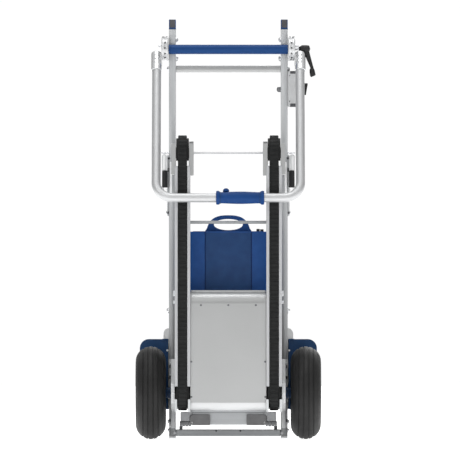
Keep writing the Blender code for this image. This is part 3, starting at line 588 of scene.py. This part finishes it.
def make_handle():
    """The swing handle: its bent tube, the two sockets that carry it, the grip and the thumb button."""
    half = [(LEG_X, 0.0256)] + arc(LEG_X - LEG_BEND, REACH - LEG_BEND, LEG_BEND, 0, 90, 28)
    line = [on_handle(-x, along) for x, along in half] + [on_handle(x, along) for x, along in reversed(half)]
    piece("handle_tube_skin", swept(line, LEG_RADIUS, 56), "tube", "handle", "handle_tube")

    for side, sign in SIDES:
        out = (sign, 0, 0)
        rim = [(0.1782, 0), (0.1782, 0.03), (0.1786, 0.0318), (0.1798, 0.033), (0.1816, 0.0335),
               (0.1842, 0.0335), (0.1862, 0.033), (0.1876, 0.0318), (0.1882, 0.0298), (0.1882, 0)]
        disc = turned(rim, PIVOT, out, 80)
        x = sign * SOCKET_X
        cup = [(0.0125, 0), (0.0125, 0.0098), (0.0132, 0.0124), (0.0148, 0.0141), (0.0172, 0.0148),
               (0.0676, 0.0148), (0.069, 0.0152), (0.0706, 0.0152), (0.0715, 0.0144), (0.0715, 0.0128)]
        cup = turned(cup + [(0.04, 0.0128), (0.04, 0)], on_handle(x, 0), TOWARDS_BAR, 56)
        web = solid(
            [(PIVOT.y + a, PIVOT.z + b) for a, b in
             ((-0.003, -0.014), (-0.019, -0.013), (-0.031, -0.044), (-0.02, -0.05), (-0.008, -0.034))],
            "X", sign * 0.1862, sign * 0.201)
        piece(f"{side}_socket_disc", [disc, web], "cast", "handle", f"{side}_handle_socket", bevel=0.0006)
        piece(f"{side}_socket_cup", cup, "polished", "handle", bevel=0.0004)
        ribs = []
        for along in (0.0272, 0.0378, 0.05):
            bow = []
            for share in [k / 8 for k in range(-8, 9)]:
                turn, sag = share * 0.34, 0.0012 * math.cos(share * 1.4)
                bow.append(on_handle(x + SOCKET_RADIUS * math.sin(turn), along + sag,
                                     SOCKET_RADIUS * math.cos(turn)))
            ribs.append(swept(bow, 0.0009, 10))
        piece(f"{side}_socket_ribs", ribs, "mark", "handle")

    x0, x1 = GRIP_LEFT, GRIP_RIGHT
    profile = [(x0, 0.013), (x0, 0.0172), (x0 + 0.0008, 0.0186), (x0 + 0.0024, 0.0194), (x0 + 0.0052, 0.0195),
               (x0 + 0.008, 0.0191), (x0 + 0.0098, 0.018), (x0 + 0.0112, 0.0164), (x0 + 0.0132, 0.0157)]
    flange = len(profile)
    barrel = 22
    for i in range(barrel + 1):
        share = i / barrel
        a, b = x0 + 0.0165, x1 - 0.0165
        profile.append((a + (b - a) * share, 0.01575 + 0.0016 * math.sin(math.pi * share) ** 1.3))
    profile += [(x0 + x1 - x, r) for x, r in reversed(profile[:flange])]
    grip = turned(profile, BAR, ACROSS, 72, closed=True)
    toward = on_handle(0, 0) - on_handle(0, 1)
    button_at = on_handle(BUTTON_X, REACH)
    pocket = turned([(0.0134, 0), (0.0134, 0.0092), (0.04, 0.0092), (0.04, 0)], button_at, toward, 40)
    piece("grip_skin", carved(grip, pocket), "grip_blue", "handle", "handle_grip")
    ring = [(x0 + 0.0114, 0.016), (x0 + 0.0114, 0.01665), (x0 + 0.0126, 0.01665), (x0 + 0.0126, 0.0158)]
    other = [(x0 + x1 - x, r) for x, r in reversed(ring)]
    rings = [turned(line, BAR, ACROSS, 64, closed=True) for line in (ring, other)]
    piece("grip_rings", rings, "fender", "handle")
    button = [(0.017, 0), (0.017, 0.0086)]
    button += [(0.0218 + 0.0065 * math.sin(t), 0.002 + 0.00675 * math.cos(t)) for t in
               [math.radians(a) for a in range(0, 91, 10)]] + [(0.0283, 0)]
    button = turned(button, button_at, toward, 48)
    piece("thumb_button_skin", button, "grip_blue", "thumb_button", "thumb_button")


def make_clamp_lever():
    """A hub on the pivot's axis, and a curved arm that swells to a knob at its lower end."""
    spindle = turned([(0.1887, 0), (0.1887, 0.0044), (0.199, 0.0044), (0.199, 0)], PIVOT, ACROSS, 32)
    hub = [(0.199, 0), (0.199, 0.0046), (0.2042, 0.0084), (0.2064, 0.0098), (0.209, 0.0105),
           (0.223, 0.0105), (0.2262, 0.0098), (0.2282, 0.0084), (0.229, 0.006), (0.229, 0)]
    hub = turned(hub, PIVOT, ACROSS, 56)
    stations = [  # X, Z and half thickness
        (0.2178, 1.095, 0.009), (0.2188, 1.091, 0.0085), (0.221, 1.085, 0.0079), (0.2235, 1.078, 0.0072),
        (0.2263, 1.07, 0.0065), (0.2298, 1.06, 0.0057), (0.2333, 1.05, 0.0049), (0.2356, 1.0434, 0.0044),
        (0.2357, 1.0415, 0.0053), (0.2355, 1.0395, 0.0064), (0.2357, 1.037, 0.0072), (0.2366, 1.03, 0.0079),
        (0.2378, 1.024, 0.008), (0.2387, 1.0208, 0.0074), (0.2392, 1.0196, 0.0062),
    ]
    fine, girth = [], []
    steps = 4
    for k in range((len(stations) - 1) * steps + 1):
        low = min(k // steps, len(stations) - 2)
        part = k / steps - low
        x, z, reach = [p + (q - p) * part for p, q in zip(stations[low], stations[low + 1])]
        fine.append((x, PIVOT.y, z))
        girth.append(reach)
    horn = swept([(0.1968, PIVOT.y, 1.1012), (0.1984, PIVOT.y, 1.1002), (0.2006, PIVOT.y, 1.099),
                  (0.2034, PIVOT.y, 1.0978), (0.2066, PIVOT.y, 1.097), (0.21, PIVOT.y, 1.097)],
                 [0.001, 0.0036, 0.0062, 0.0084, 0.0099, 0.0104], 40)
    arm = swept(fine, girth, 32)
    piece("lever_skin", [hub, horn, arm], "black", "clamp_lever", "clamp_lever", bevel=0.0003)
    piece("lever_spindle", spindle, "bright", "clamp_lever")
    cap = dome_head((0.2289, PIVOT.y, PIVOT.z), ACROSS, 0.0046, 0.0016)
    piece("lever_cap", cap, "dark_steel", "clamp_lever")


def make_controls():
    """The control box on the right upright, with its rocker switch outside and its selector knob inside."""
    low, high = POST_OUTER + 0.0008, 0.213
    case = solid(rounded(low, -0.002, high, 0.0535, 0.0034), "Z", 0.9344, 1.0344)
    case = carved(case, block((0.211, 0.016, 0.966), (0.22, 0.0355, 1.002)))
    piece("case_skin", case, "case", stands_for="control_box", bevel=0.001, segments=3)
    for name, z0, z1 in (("case_foot", 0.9337, 0.9436), ("case_head", 1.0266, 1.0351)):
        band = solid(rounded(0.1722, -0.0024, 0.2088, 0.0538, 0.0036), "Z", z0 + 0.0003, z1 - 0.0003)
        piece(name, band, "inset", bevel=0.0006)
    screws = [dome_head((x, -0.002, z), REARWARD, 0.0017, 0.001)
              for z in (0.9495, 1.0215) for x in (0.1725, 0.2085)]
    piece("case_screws", screws, "dark_steel")
    well = solid(rounded(0.015, 0.965, 0.0365, 1.003, 0.002), "X", 0.2128, 0.2139)
    well = carved(well, block((0.21, 0.0168, 0.9668), (0.22, 0.0347, 1.0011)))
    piece("rocker_bezel", well, "inset", bevel=0.0003)
    outline = [(0.2133, 0.984), (0.215, 0.9673), (0.219, 0.9673), (0.2198, 0.974), (0.2208, 0.98),
               (0.2222, 0.988), (0.2236, 0.995), (0.2238, 0.9985), (0.223, 1.0006), (0.215, 1.0006)]
    piece("rocker_skin", solid(outline, "Y", 0.017, 0.0345), "black", "rocker_switch", "rocker_switch",
          bevel=0.0007, segments=3)

    def knurled(turn):
        return 0.0073 - 0.00014 * (1 + math.cos(24 * turn))

    knob = [(0.1476, 0), (0.1476, 0.0073), (0.147, 0.0073), (0.1468, knurled), (0.1416, knurled),
            (0.1408, 0.007), (0.1388, 0.0062), (0.1374, 0.0048), (0.1366, 0.003), (0.1362, 0)]
    knob = turned(knob, (0, 0.0258, 0.9828), ACROSS, 96)
    piece("knob_skin", knob, "knob", "selector_knob", "selector_knob")
    pointer = solid(rounded(0.0251, 0.9842, 0.0265, 0.9896, 0.0005), "X", 0.138, 0.1412)
    piece("knob_pointer", pointer, "mark", "selector_knob")


# ---------------------------------------------------------------- crawler tracks

def make_belts():
    """Closed loops with cross ribs: a wide base that runs in the channel and a narrower tread."""
    base_radius, rib_radius, groove_radius, inner_radius = 0.041, 0.049, 0.0472, 0.035
    run, ribs = PULLEY_HIGH - PULLEY_LOW, 132
    loop = 2 * run + TAU * rib_radius
    pitch = loop / ribs
    stations = []
    for i in range(ribs):
        for share, height in ((0.00, 0), (0.1, 0), (0.34, 0), (0.44, 1), (0.52, 1), (0.88, 1)):
            stations.append(((i + share) * pitch, groove_radius + (rib_radius - groove_radius) * height))

    def place(at, radius):
        """The point of the loop at a length along it, from the rear run's foot upwards."""
        turn_length = math.pi * rib_radius
        if at < run:
            return -radius, PULLEY_LOW + at
        if at < run + turn_length:
            turn = math.pi - (at - run) / rib_radius
            return radius * math.cos(turn), PULLEY_HIGH + radius * math.sin(turn)
        if at < 2 * run + turn_length:
            return radius, PULLEY_HIGH - (at - run - turn_length)
        turn = -(at - 2 * run - turn_length) / rib_radius
        return radius * math.cos(turn), PULLEY_LOW + radius * math.sin(turn)

    for side, sign in SIDES:
        bm = bmesh.new()
        rings = []
        for at, top in stations:
            half = [(0.0165, inner_radius), (0.01775, inner_radius + 0.0012), (0.01775, base_radius - 0.0014),
                    (0.0168, base_radius), (0.0124, base_radius), (0.0122, top - 0.0018), (0.0106, top)]
            points = []
            for width, radius in with_mirror(half):
                y, z = place(at, radius)
                points.append(bm.verts.new((sign * TRACK_X + width, TRACK_Y + y, z)))
            rings.append(points)
        for first, second in zip(rings, rings[1:] + rings[:1]):
            for i in range(len(first)):
                j = (i + 1) % len(first)
                bm.faces.new((first[i], first[j], second[j], second[i]))
        piece(f"{side}_belt_skin", bm, "belt", stands_for=f"{side}_belt", smooth=24)


def make_channels():
    """The channels, their tension plates and pulleys, with the folded edges and guides at their ends."""
    shaft = turned(rod(-0.16, 0.16, 0.008, 0.0008), (0, TRACK_Y, PULLEY_LOW), ACROSS, 40)
    piece("shaft_skin", shaft, "steel", "drive_shaft", "drive_shaft")
    for side, sign in SIDES:
        notches = [block((low, -0.3, 0.765), (high, 0.0, 0.799)) for low, high in
                   (mirrored(sign, 0.1, 0.1136), mirrored(sign, 0.1424, 0.156))]
        channel = carved(node_shape(f"{side}_track_channel"), *notches)
        piece(f"{side}_channel_skin", channel, "rail", stands_for=f"{side}_track_channel", bevel=0.0004)
        refined(f"{side}_inner_plate", "sheet", bevel=0.0008)
        # The outer plates wear the lighter sheet copy, painted light against their shade
        refined(f"{side}_outer_plate", "painted_lit_sheet", bevel=0.0008)
        refined(f"{side}_drive_pulley", "black", "drive_shaft", bevel=0.0003)
        refined(f"{side}_idler_pulley", "grey", f"{side}_idler", bevel=0.0004)
        lips = [plate(sign, low, high, bottom, top, 0.0022, -0.2068, -0.204) for low, high, bottom, top in
                ((0.0967, 0.1096, 0.7391, 0.8345), (0.1464, 0.159, 0.7419, 0.8274))]
        piece(f"{side}_plate_lips", lips, "sheet", bevel=0.0006)
        slot = plate(sign, 0.0985, 0.1086, 0.8292, 0.8316, 0.001, -0.2078, -0.2066)
        piece(f"{side}_plate_slot", slot, "mark")
        cheeks = [plate(sign, low, high, 0.0785, 0.114, 0.0012, -0.2136, -0.2116) for low, high in
                  ((0.1058, 0.1126), (0.1434, 0.1502))]
        piece(f"{side}_pulley_lips", cheeks, "aluminium", bevel=0.0004)
        guides = [plate(sign, low, high, 0.7656, 0.7802, 0.001, -0.2146, -0.2112) for low, high in
                  ((0.1106, 0.1153), (0.1407, 0.1454))]
        piece(f"{side}_belt_guides", guides, "white_metal", bevel=0.0004)


# ---------------------------------------------------------------- drive unit and battery

def make_cover():
    """A folded cover with two cheeks, its lower curved edge made apart in a lighter copy of the sheet, a
    painted highlight for the floor's reflection, and the screws that hold it.
    """
    back, low, high, sheet, half = COVER_BACK, COVER_LOW, COVER_HIGH, COVER_SHEET, COVER_HALF
    bend_top, bend_low = 0.034, 0.026
    edge, hem_y = -0.083, -0.155
    seam, crown = low + bend_low, high - bend_top - 0.0021
    upper = [(edge, high)] + arc(back + bend_top, crown, bend_top, 90, 180, 24)
    lower = arc(back + bend_low, seam, bend_low, 180, 270, 20) + [(hem_y, low)]
    upper_inside = arc(back + bend_top, crown, bend_top - sheet, 180, 90, 24) + [(edge, high - sheet)]
    lower_inside = [(hem_y, low + sheet)] + arc(back + bend_low, seam, bend_low - sheet, 270, 180, 20)
    step = [(back, seam + 0.0002), (back + sheet, seam + 0.0002)]
    shapes = [solid(upper + step + upper_inside, "X", sheet - half, half - sheet)]
    for _, sign in SIDES:
        cheek = upper + lower + [(0.045, low), (0.045, 0.34), (edge, 0.352)]
        holes = [turned([(-0.2, 0), (-0.2, r), (0.2, r), (0.2, 0)], (0, y, z), ACROSS, 48) for y, z, r in
                 ((WHEEL_Y, WHEEL_Z, 0.012), (TRACK_Y, PULLEY_LOW, 0.0202))]
        shapes.append(carved(solid(cheek, "X", sign * (half - sheet), sign * half), *holes))
    piece("cover_skin", shapes, "sheet", stands_for="drive_cover", bevel=0.0004, smooth=40)
    screws = [dome_head((x, back, z), REARWARD, 0.0028, 0.0014) for x, z in
              ((-0.0767, 0.3769), (0.0, 0.3769), (0.0767, 0.3769), (-0.103, 0.2189), (0.103, 0.2189),
               (-0.103, 0.1206), (0.103, 0.1206))]
    screws += [dome_head((x, -0.12, high), UP, 0.003, 0.0016) for x in (-0.0767, 0.0, 0.0767)]
    piece("cover_screws", screws, "dark_steel")
    # The lower curve gets the lighter copy of the sheet, a painted highlight
    painted_highlight_bend = solid(lower + lower_inside, "X", sheet - half, half - sheet)
    piece("cover_painted_highlight_bend", painted_highlight_bend, "painted_highlight_bend", smooth=40)
    rail = plate(1, -0.104, 0.104, 0.407, 0.4184, 0.0008, -0.1796, -0.1776)
    # The rail shares the uprights' look, and with it the painted shade towards the bottom
    piece("cover_rail", rail, "post", bevel=0.0004)
    hem = plate(1, -0.1055, 0.1055, 0.0772, 0.0822, 0.0008, -0.1918, -0.1902)
    piece("cover_hem", hem, "plain", bevel=0.0003)


def make_drive_unit():
    """The finned motor, the bolted gear case and the tray that the battery stands on."""
    fins = [(-0.088, 0), (-0.088, 0.024), (-0.0868, 0.0262), (-0.082, 0.03), (-0.0806, 0.033)]
    for i in range(15):
        x = -0.08 + i * 0.0088
        fins += [(x, 0.0345), (x + 0.0004, 0.037), (x + 0.0052, 0.037), (x + 0.0056, 0.0345)]
    fins += [(0.053, 0.0345), (0.054, 0.031), (0.0617, 0.031), (0.0617, 0)]
    piece("motor_skin", turned(fins, (0, 0.004, 0.232), ACROSS, 64), "motor", stands_for="motor")
    refined("gearbox", "cast", bevel=0.001)
    bolts = [hex_bolt((0.092, y, z), ACROSS, 0.008, 0.0042) for y, z in
             ((0.03, 0.24), (0.01, 0.205), (-0.01, 0.258), (-0.06, 0.18), (-0.105, 0.19), (-0.15, 0.118))]
    piece("gearbox_bolts", bolts, "steel")
    refined("battery_tray", "sheet", bevel=0.0004)


def make_battery():
    """The battery: a case with a grooved back, a raised panel, a lid, a loop handle and its plug."""
    half, back, front, low, high = 0.112, -0.082, 0.048, 0.36, 0.5823
    seam = 0.065
    body = solid(rounded(-half, back, half, front, 0.01, 8), "Z", low, high)
    grooves = [block((x - 0.0011, back - 0.01, low + 0.004), (x + 0.0011, back + 0.003, 0.6))
               for x in (-seam, seam)]
    grooves.append(block((-0.2, back - 0.01, low + 0.019), (0.2, back + 0.0012, low + 0.0202)))
    piece("battery_skin", carved(body, *grooves), "blue", "battery", "battery_case", bevel=0.0016, segments=3)
    panel = plate(1, -0.0632, 0.0632, low + 0.0215, high - 0.0028, 0.003, back - 0.0009, back + 0.002)
    piece("battery_panel", panel, "panel", "battery", bevel=0.0006)
    strips = [plate(1, x - 0.00105, x + 0.00105, low + 0.0045, high - 0.001, 0.0003, back + 0.0022,
                    back + 0.0028) for x in (-seam, seam)]
    piece("battery_seams", strips, "groove", "battery")

    crown = [(0.0405 * math.cos(TAU * i / 56), 0.602 + 0.0155 * math.sin(TAU * i / 56)) for i in range(56)]
    side_line = [(0.065, high - 0.01), (0.065, 0.5838), (0.0642, 0.5862), (0.0618, 0.589), (0.06, 0.5925),
                 (0.0588, 0.5965), (0.0572, 0.6005), (0.055, 0.605), (0.052, 0.6098), (0.048, 0.6145),
                 (0.043, 0.6188), (0.037, 0.6224), (0.03, 0.6251), (0.021, 0.6272), (0.011, 0.6282)]
    outline = side_line + [(0, 0.6285)] + [(-x, z) for x, z in reversed(side_line)]
    loop = carved(solid(outline, "Y", -0.066, -0.042), solid(crown, "Y", -0.2, 0.2))
    piece("battery_loop", loop, "grip_blue", "battery", bevel=0.0024, segments=4, smooth=40)
    lid = rounded(0.012 - half, back + 0.01, half - 0.012, front - 0.01, 0.008)
    piece("battery_lid", solid(lid, "Z", high - 0.002, high + 0.0012), "blue", "battery", bevel=0.0008)
    plugs = [solid(rounded(left, -0.07, left + 0.0094, -0.056, 0.0015), "Z", high - 0.001, top)
             for left, top in ((0.079, 0.59), (0.0896, 0.589))]
    piece("battery_plug", plugs, "black", "battery", "battery_connector", bevel=0.0008)


# ---------------------------------------------------------------- wheels

def tyre_profile():
    """The tyre's outside, from bead to bead, with grooves along its tread."""
    half, crown, shoulder = 0.0425, 0.13, 0.0885
    points = []
    steps = 150
    for i in range(steps + 1):
        x = -half + 2 * half * i / steps
        share = min(1.0, abs(x) / half)
        radius = shoulder + (crown - shoulder) * math.sqrt(1 - share * share)
        phase = (x / 0.0138 + 0.5) % 1.0
        from_groove = min(phase, 1 - phase) * 0.0138
        if abs(x) < 0.033:
            radius -= 0.0018 * max(0.0, min(1.0, (0.002 - from_groove) / 0.0009))
        points.append((x, radius))
    side_wall = [(0.0423, 0.0868), (0.042, 0.085), (0.0414, 0.0838), (0.0417, 0.0826), (0.0411, 0.0814),
                 (0.0404, 0.079), (0.0398, 0.077), (0.038, 0.072),
                 (0.0366, 0.068), (0.035, 0.065), (0.0336, 0.0622), (0.0322, 0.06), (0.0296, 0.059)]
    inner = [(0.028, 0.056), (0.025, 0.0525)]
    closing = side_wall + inner
    return points + closing + [(-x, r) for x, r in reversed(closing)]


def at_wheel(sign, outward, radius, share):
    """A point beside a wheel's centre, turned about its axle by a share of a full turn."""
    turn = TAU * share
    return sign * (WHEEL_X + outward), WHEEL_Y + radius * math.cos(turn), WHEEL_Z + radius * math.sin(turn)


def make_wheels():
    """Both wheels with pierced rims, hub bolts and valves, and the axle with its spacers."""
    dish = [(0.04, 0.0103), (0.04, 0.018), (0.0392, 0.019), (0.012, 0.02), (0.008, 0.0212),
            (0.0062, 0.024), (0.0058, 0.03), (0.005, 0.038), (0.0052, 0.043), (0.008, 0.0462),
            (0.014, 0.0474), (0.024, 0.048), (0.0268, 0.0492), (0.0292, 0.053), (0.0312, 0.0572),
            (0.0326, 0.059), (0.0338, 0.0588), (0.034, 0.06), (0.0328, 0.0606), (0.0306, 0.0596),
            (0.0286, 0.056), (0.0262, 0.0528), (0.0238, 0.0524)]
    window = [(-0.02, 0), (-0.02, 0.007), (0.02, 0.007), (0.02, 0)]
    valve = [(0, 0), (0, 0.004), (0.01, 0.0034), (0.0105, 0.0027), (0.02, 0.0026), (0.0205, 0.0031),
             (0.026, 0.0031), (0.0268, 0.0024), (0.0268, 0)]
    valve_turn = 62 / 360
    spacer = [(0.1604, 0.01), (0.1604, 0.015), (0.1612, 0.0158), (0.17, 0.0158), (0.171, 0.014),
              (0.177, 0.0135), (0.177, 0.01)]
    hub = (0, WHEEL_Y, WHEEL_Z)
    for side, sign in SIDES:
        centre = (sign * WHEEL_X, WHEEL_Y, WHEEL_Z)
        body = f"{side}_wheel"
        tyre = turned(tyre_profile(), centre, ACROSS, 144, closed=True)
        piece(f"{side}_tyre_skin", tyre, "tyre", body, f"{side}_tyre", smooth=28)
        rim = turned(with_mirror(dish), centre, ACROSS, 96, closed=True)
        windows = [turned(window, at_wheel(sign, 0, 0.0335, (i + 0.25) / 5), ACROSS, 32) for i in range(5)]
        piece(f"{side}_rim_skin", carved(rim, *windows), "aluminium", body, f"{side}_rim", smooth=34)
        bolts = [dome_head(at_wheel(sign, 0.0385, 0.014, (i + 0.5) / 4), (sign, 0, 0), 0.0026, 0.0024)
                 for i in range(4)]
        piece(f"{side}_hub_bolts", bolts, "dark_steel", body)
        lean = (sign * 0.55, -math.cos(TAU * valve_turn), -math.sin(TAU * valve_turn))
        stem = turned(valve, at_wheel(sign, 0.0215, 0.0475, valve_turn), lean, 24)
        piece(f"{side}_valve", stem, "black", body)
        collar = turned(spacer, hub, (sign, 0, 0), 56, closed=True)
        piece(f"{side}_axle_spacer", collar, "fender")
    axle = turned(rod(-0.2575, 0.2575, 0.01, 0.0012), hub, ACROSS, 48)
    piece("axle_skin", axle, "steel", stands_for="wheel_axle")


def make_guards():
    """The axle brackets, the blue plates beside the wheels and the shield across the front."""
    bottom, top, inner, outer, radius, foot = 0.0806, 0.2789, 0.169, 0.25, 0.026, 0.012
    outline = [(inner, bottom), (outer - foot, bottom)] + arc(outer - foot, bottom + foot, foot, 270, 360, 8)
    outline += arc(outer - radius, top - radius, radius, 0, 90, 20) + [(inner, top)]
    for side, sign in SIDES:
        refined(f"{side}_axle_bracket", "bracket", bevel=0.0008)
        guard = solid([(sign * x, z) for x, z in outline], "Y", 0.053, 0.0572)
        rib = plate(sign, 0.17, 0.1735, 0.083, 0.276, 0.0012, 0.049, 0.0535)
        lip = plate(sign, 0.171, 0.187, 0.274, 0.2797, 0.0012, 0.05, 0.0569)
        piece(f"{side}_guard", [guard, rib, lip], "fender", stands_for=f"{side}_fender", bevel=0.001)
    # The shield wears the lighter sheet copy, painted light against its shade
    refined("front_shield", "painted_lit_sheet", bevel=0.0004)


# ---------------------------------------------------------------- foot of the frame

def make_base():
    """The crossmember under the tracks, with its pads, end blocks and hinge knuckles."""
    refined("lower_crossmember", "plain", bevel=0.0008)
    pad = arc(0.0986, 0.0497, 0.0084, -90, 0, 10) + arc(0.0986, 0.0632, 0.0084, 0, 90, 10)
    pad = [(0.0514, 0.0413)] + pad + [(0.0514, 0.0716)]
    end = [(0.134, 0.053), (0.134, 0.0784), (0.1, 0.0784), (0.1, 0.0728), (0.1052, 0.0708),
           (0.1082, 0.0655), (0.1084, 0.053)]
    for side, sign in SIDES:
        shape = solid([(sign * x, z) for x, z in pad], "Y", -0.1998, CROSSMEMBER_BACK)
        piece(f"{side}_pad_skin", shape, "pad", stands_for=f"{side}_stair_pad", bevel=0.0012, segments=3)
        shape = solid([(sign * x, z) for x, z in end], "Y", -0.199, CROSSMEMBER_BACK)
        piece(f"{side}_end_block", shape, "block", bevel=0.001)
        knuckles = [turned(rod(low, high, radius, 0.0006), (0, -0.192, 0.0456), (sign, 0, 0), 32)
                    for low, high, radius in ((0.104, 0.111, 0.0072), (0.1116, 0.12, 0.0082),
                                              (0.1206, 0.129, 0.0078), (0.1296, 0.1362, 0.007))]
        piece(f"{side}_knuckles", knuckles, "grey")
        stud = dome_head((sign * 0.1015, CROSSMEMBER_BACK, 0.049), REARWARD, 0.0026, 0.0108)
        piece(f"{side}_knuckle_stud", stud, "white_metal")
        stop = plate(sign, 0.1286, 0.1382, 0.0248, 0.0352, 0.0026, 0.008, 0.024)
        piece(f"{side}_foot_stop", stop, "mark", bevel=0.001)
        boss = turned([(0, 0), (0, 0.0042), (0.0006, 0.0042), (0.0012, 0.0034), (0.0012, 0)],
                      (sign * 0.1508, 0.0077, 0.015), REARWARD, 40)
        piece(f"{side}_foot_boss", boss, "rail")
    refined("toe_hinge_rod", "steel", bevel=0.0004)
    refined("toe_plate", "plate", "toe_plate", bevel=0.0006)


def make_catches():
    """Straps that hang from a pin beside each upright, each with a sleeve and an open hook."""
    y = CATCH_Y

    def strap_shape(sign, inset, depth):
        line = [(0.173 + inset, 0.752), (0.187 - inset, 0.752)]
        line += arc(0.18, 0.7925, 0.007 - inset, 0, 180, 18)
        return solid([(sign * x, z) for x, z in line], "Y", y - depth, y + depth)

    pin = [(0.167, 0), (0.167, 0.0029), (0.188, 0.0029), (0.1886, 0.0023), (0.1886, 0)]
    tab_line = [(0.1676, 0.751), (0.1716, 0.751), (0.1716, 0.756), (0.1696, 0.762), (0.1676, 0.762)]
    sleeve = [(0.7062, 0), (0.7062, 0.0072), (0.7068, 0.0084), (0.709, 0.0086), (0.711, 0.0081),
              (0.748, 0.008), (0.7515, 0.0076), (0.754, 0.0066), (0.7548, 0.0056), (0.7548, 0)]
    hook = [(0.1835, 0.711), (0.1835, 0.704)] + arc(0.1787, 0.6972, 0.0048, 0, -235, 30)
    for side, sign in SIDES:
        body = f"{side}_catch"
        refined(f"{side}_catch_bracket", "aluminium", bevel=0.0006)
        piece(f"{side}_catch_pin", turned(pin, (0, y, 0.8035), (sign, 0, 0), 28), "bright")
        guide = plate(sign, 0.1588, 0.165, 0.672, 0.779, 0.001, 0.004, 0.0074)
        piece(f"{side}_catch_guide", guide, "white_metal", bevel=0.0005)
        piece(f"{side}_catch_strap", strap_shape(sign, 0.0008, 0.0016), "white_metal", body, f"{side}_catch",
              bevel=0.0004)
        rim = carved(strap_shape(sign, 0, 0.0034), strap_shape(sign, 0.0013, 0.02))
        low, high = mirrored(sign, 0.1768, 0.1778)
        web = block((low, y - 0.003, 0.753), (high, y + 0.003, 0.796))
        piece(f"{side}_catch_rim", [rim, web], "aluminium", body, bevel=0.0003)
        bolt = dome_head((sign * 0.1678, POST_BACK - 0.0006, 0.7888), REARWARD, 0.0034, 0.0022)
        piece(f"{side}_catch_bolt", bolt, "mark")
        tab = solid([(sign * x, z) for x, z in tab_line], "Y", 0.001, 0.0074)
        piece(f"{side}_catch_tab", tab, "mark", bevel=0.0005)
        piece(f"{side}_catch_sleeve", turned(sleeve, (sign * CATCH_X, y, 0), UP, 48), "black", body)
        line = [(sign * x, y, z) for x, z in hook]
        piece(f"{side}_catch_hook", swept(line, 0.0019, 20), "white_metal", body)


def make_fasteners():
    """Bolts, screws, dark patches and clips on the uprights and beside them; the patches under two screws are
    painted shadow.
    """
    face = POST_BACK - 0.0036
    pin = [(0.1779, 0), (0.1779, 0.004), (0.1975, 0.004), (0.198, 0.0035), (0.198, 0)]
    for side, sign in SIDES:
        out = (sign, 0, 0)
        inner = [dome_head((sign * POST_INNER, POST_MIDDLE_Y, z), (-sign, 0, 0), 0.0082, 0.0066)
                 for z in (1.1226, 1.0704)]
        piece(f"{side}_inner_bolts", inner, "bright")
        bolts = ((1.041, 0.0075, 0.0062), (0.359, 0.0085, 0.0066), (0.0222, 0.0055, 0.0042))
        outer = [dome_head((sign * POST_OUTER, POST_MIDDLE_Y, z), out, radius, height)
                 for z, radius, height in bolts]
        outer.append(dome_head((sign * 0.1726, 0.03, 0.6353), out, 0.0065, 0.0026))
        piece(f"{side}_outer_bolts", outer, "bright")
        heads = [dome_head((sign * x, y, z), REARWARD, radius, 0.002) for x, y, z, radius in (
            (0.1625, face, 0.2125, 0.0031), (0.1625, face, 0.1785, 0.0031), (0.1716, 0.049, 0.2468, 0.003))]
        piece(f"{side}_side_screws", heads, "white_metal")
        # Dark patches: the two just under the side screws are painted shadow, the three lower ones are dark
        # marks
        shadows_and_marks = [plate(sign, 0.1625, 0.1665, z - 0.0046, z + 0.0046, 0.0018, face - 0.0008, face + 0.001)
                 for z in (0.2025, 0.1715, 0.134, 0.119, 0.05)]
        piece(f"{side}_side_painted_shadows_and_marks", shadows_and_marks, "mark")
        stud = dome_head((sign * 0.1702, 0.01, 0.6353), REARWARD, 0.0036, 0.0024)
        piece(f"{side}_bracket_stud", stud, "dark_steel")
        clips = [plate(sign, 0.1499, 0.1557, bottom, top, 0.0012, POST_BACK - 0.0016, POST_BACK + 0.001)
                 for bottom, top in ((0.379, 0.388), (0.4, 0.416))]
        piece(f"{side}_post_clips", clips, "white_metal", bevel=0.0004)
        nut = hex_bolt((sign * POST_OUTER, 0.015, 0.047), out, 0.0095, 0.0034, 0.0062)
        piece(f"{side}_side_nut", nut, "bright")
        index_pin = turned(pin, (0, PIVOT.y + 0.002, 1.105), out, 28)
        piece(f"{side}_index_pin", index_pin, "bright", "handle")
    screws = [dome_head((x, 0.0085, 0.0206), REARWARD, 0.0026, 0.0014) for x in (-0.0341, 0.0341)]
    piece("foot_bar_screws", screws, "mark")


FLOOR_REACH, FLOOR_GLOW = 8.0, 0.8


def make_floor():
    """A light floor that lies under the whole object."""
    bm = block((-FLOOR_REACH, -FLOOR_REACH, -0.02), (FLOOR_REACH, FLOOR_REACH, 0.0))
    mesh = bpy.data.meshes.new("floor")
    bm.to_mesh(mesh)
    bm.free()
    look = surface("floor", (250, 250, 250), (252, 252, 252), 0.9, 0.0, (3, 3, 3), 0.03)
    shader = look.node_tree.nodes["Principled BSDF"]
    shader.inputs["Emission Color"].default_value = WHITE
    shader.inputs["Emission Strength"].default_value = FLOOR_GLOW
    mesh.materials.append(look)
    floor = bpy.data.objects.new("floor", mesh)
    bpy.context.scene.collection.objects.link(floor)


bpy.context.scene.view_settings.view_transform = "Standard"
make_camera()
make_world()
make_lights()
make_floor()
make_uprights()
make_crossbars()
make_pivot_discs()
make_handle()
make_clamp_lever()
make_controls()
make_belts()
make_channels()
make_cover()
make_drive_unit()
make_battery()
make_wheels()
make_guards()
make_base()
make_catches()
make_fasteners()
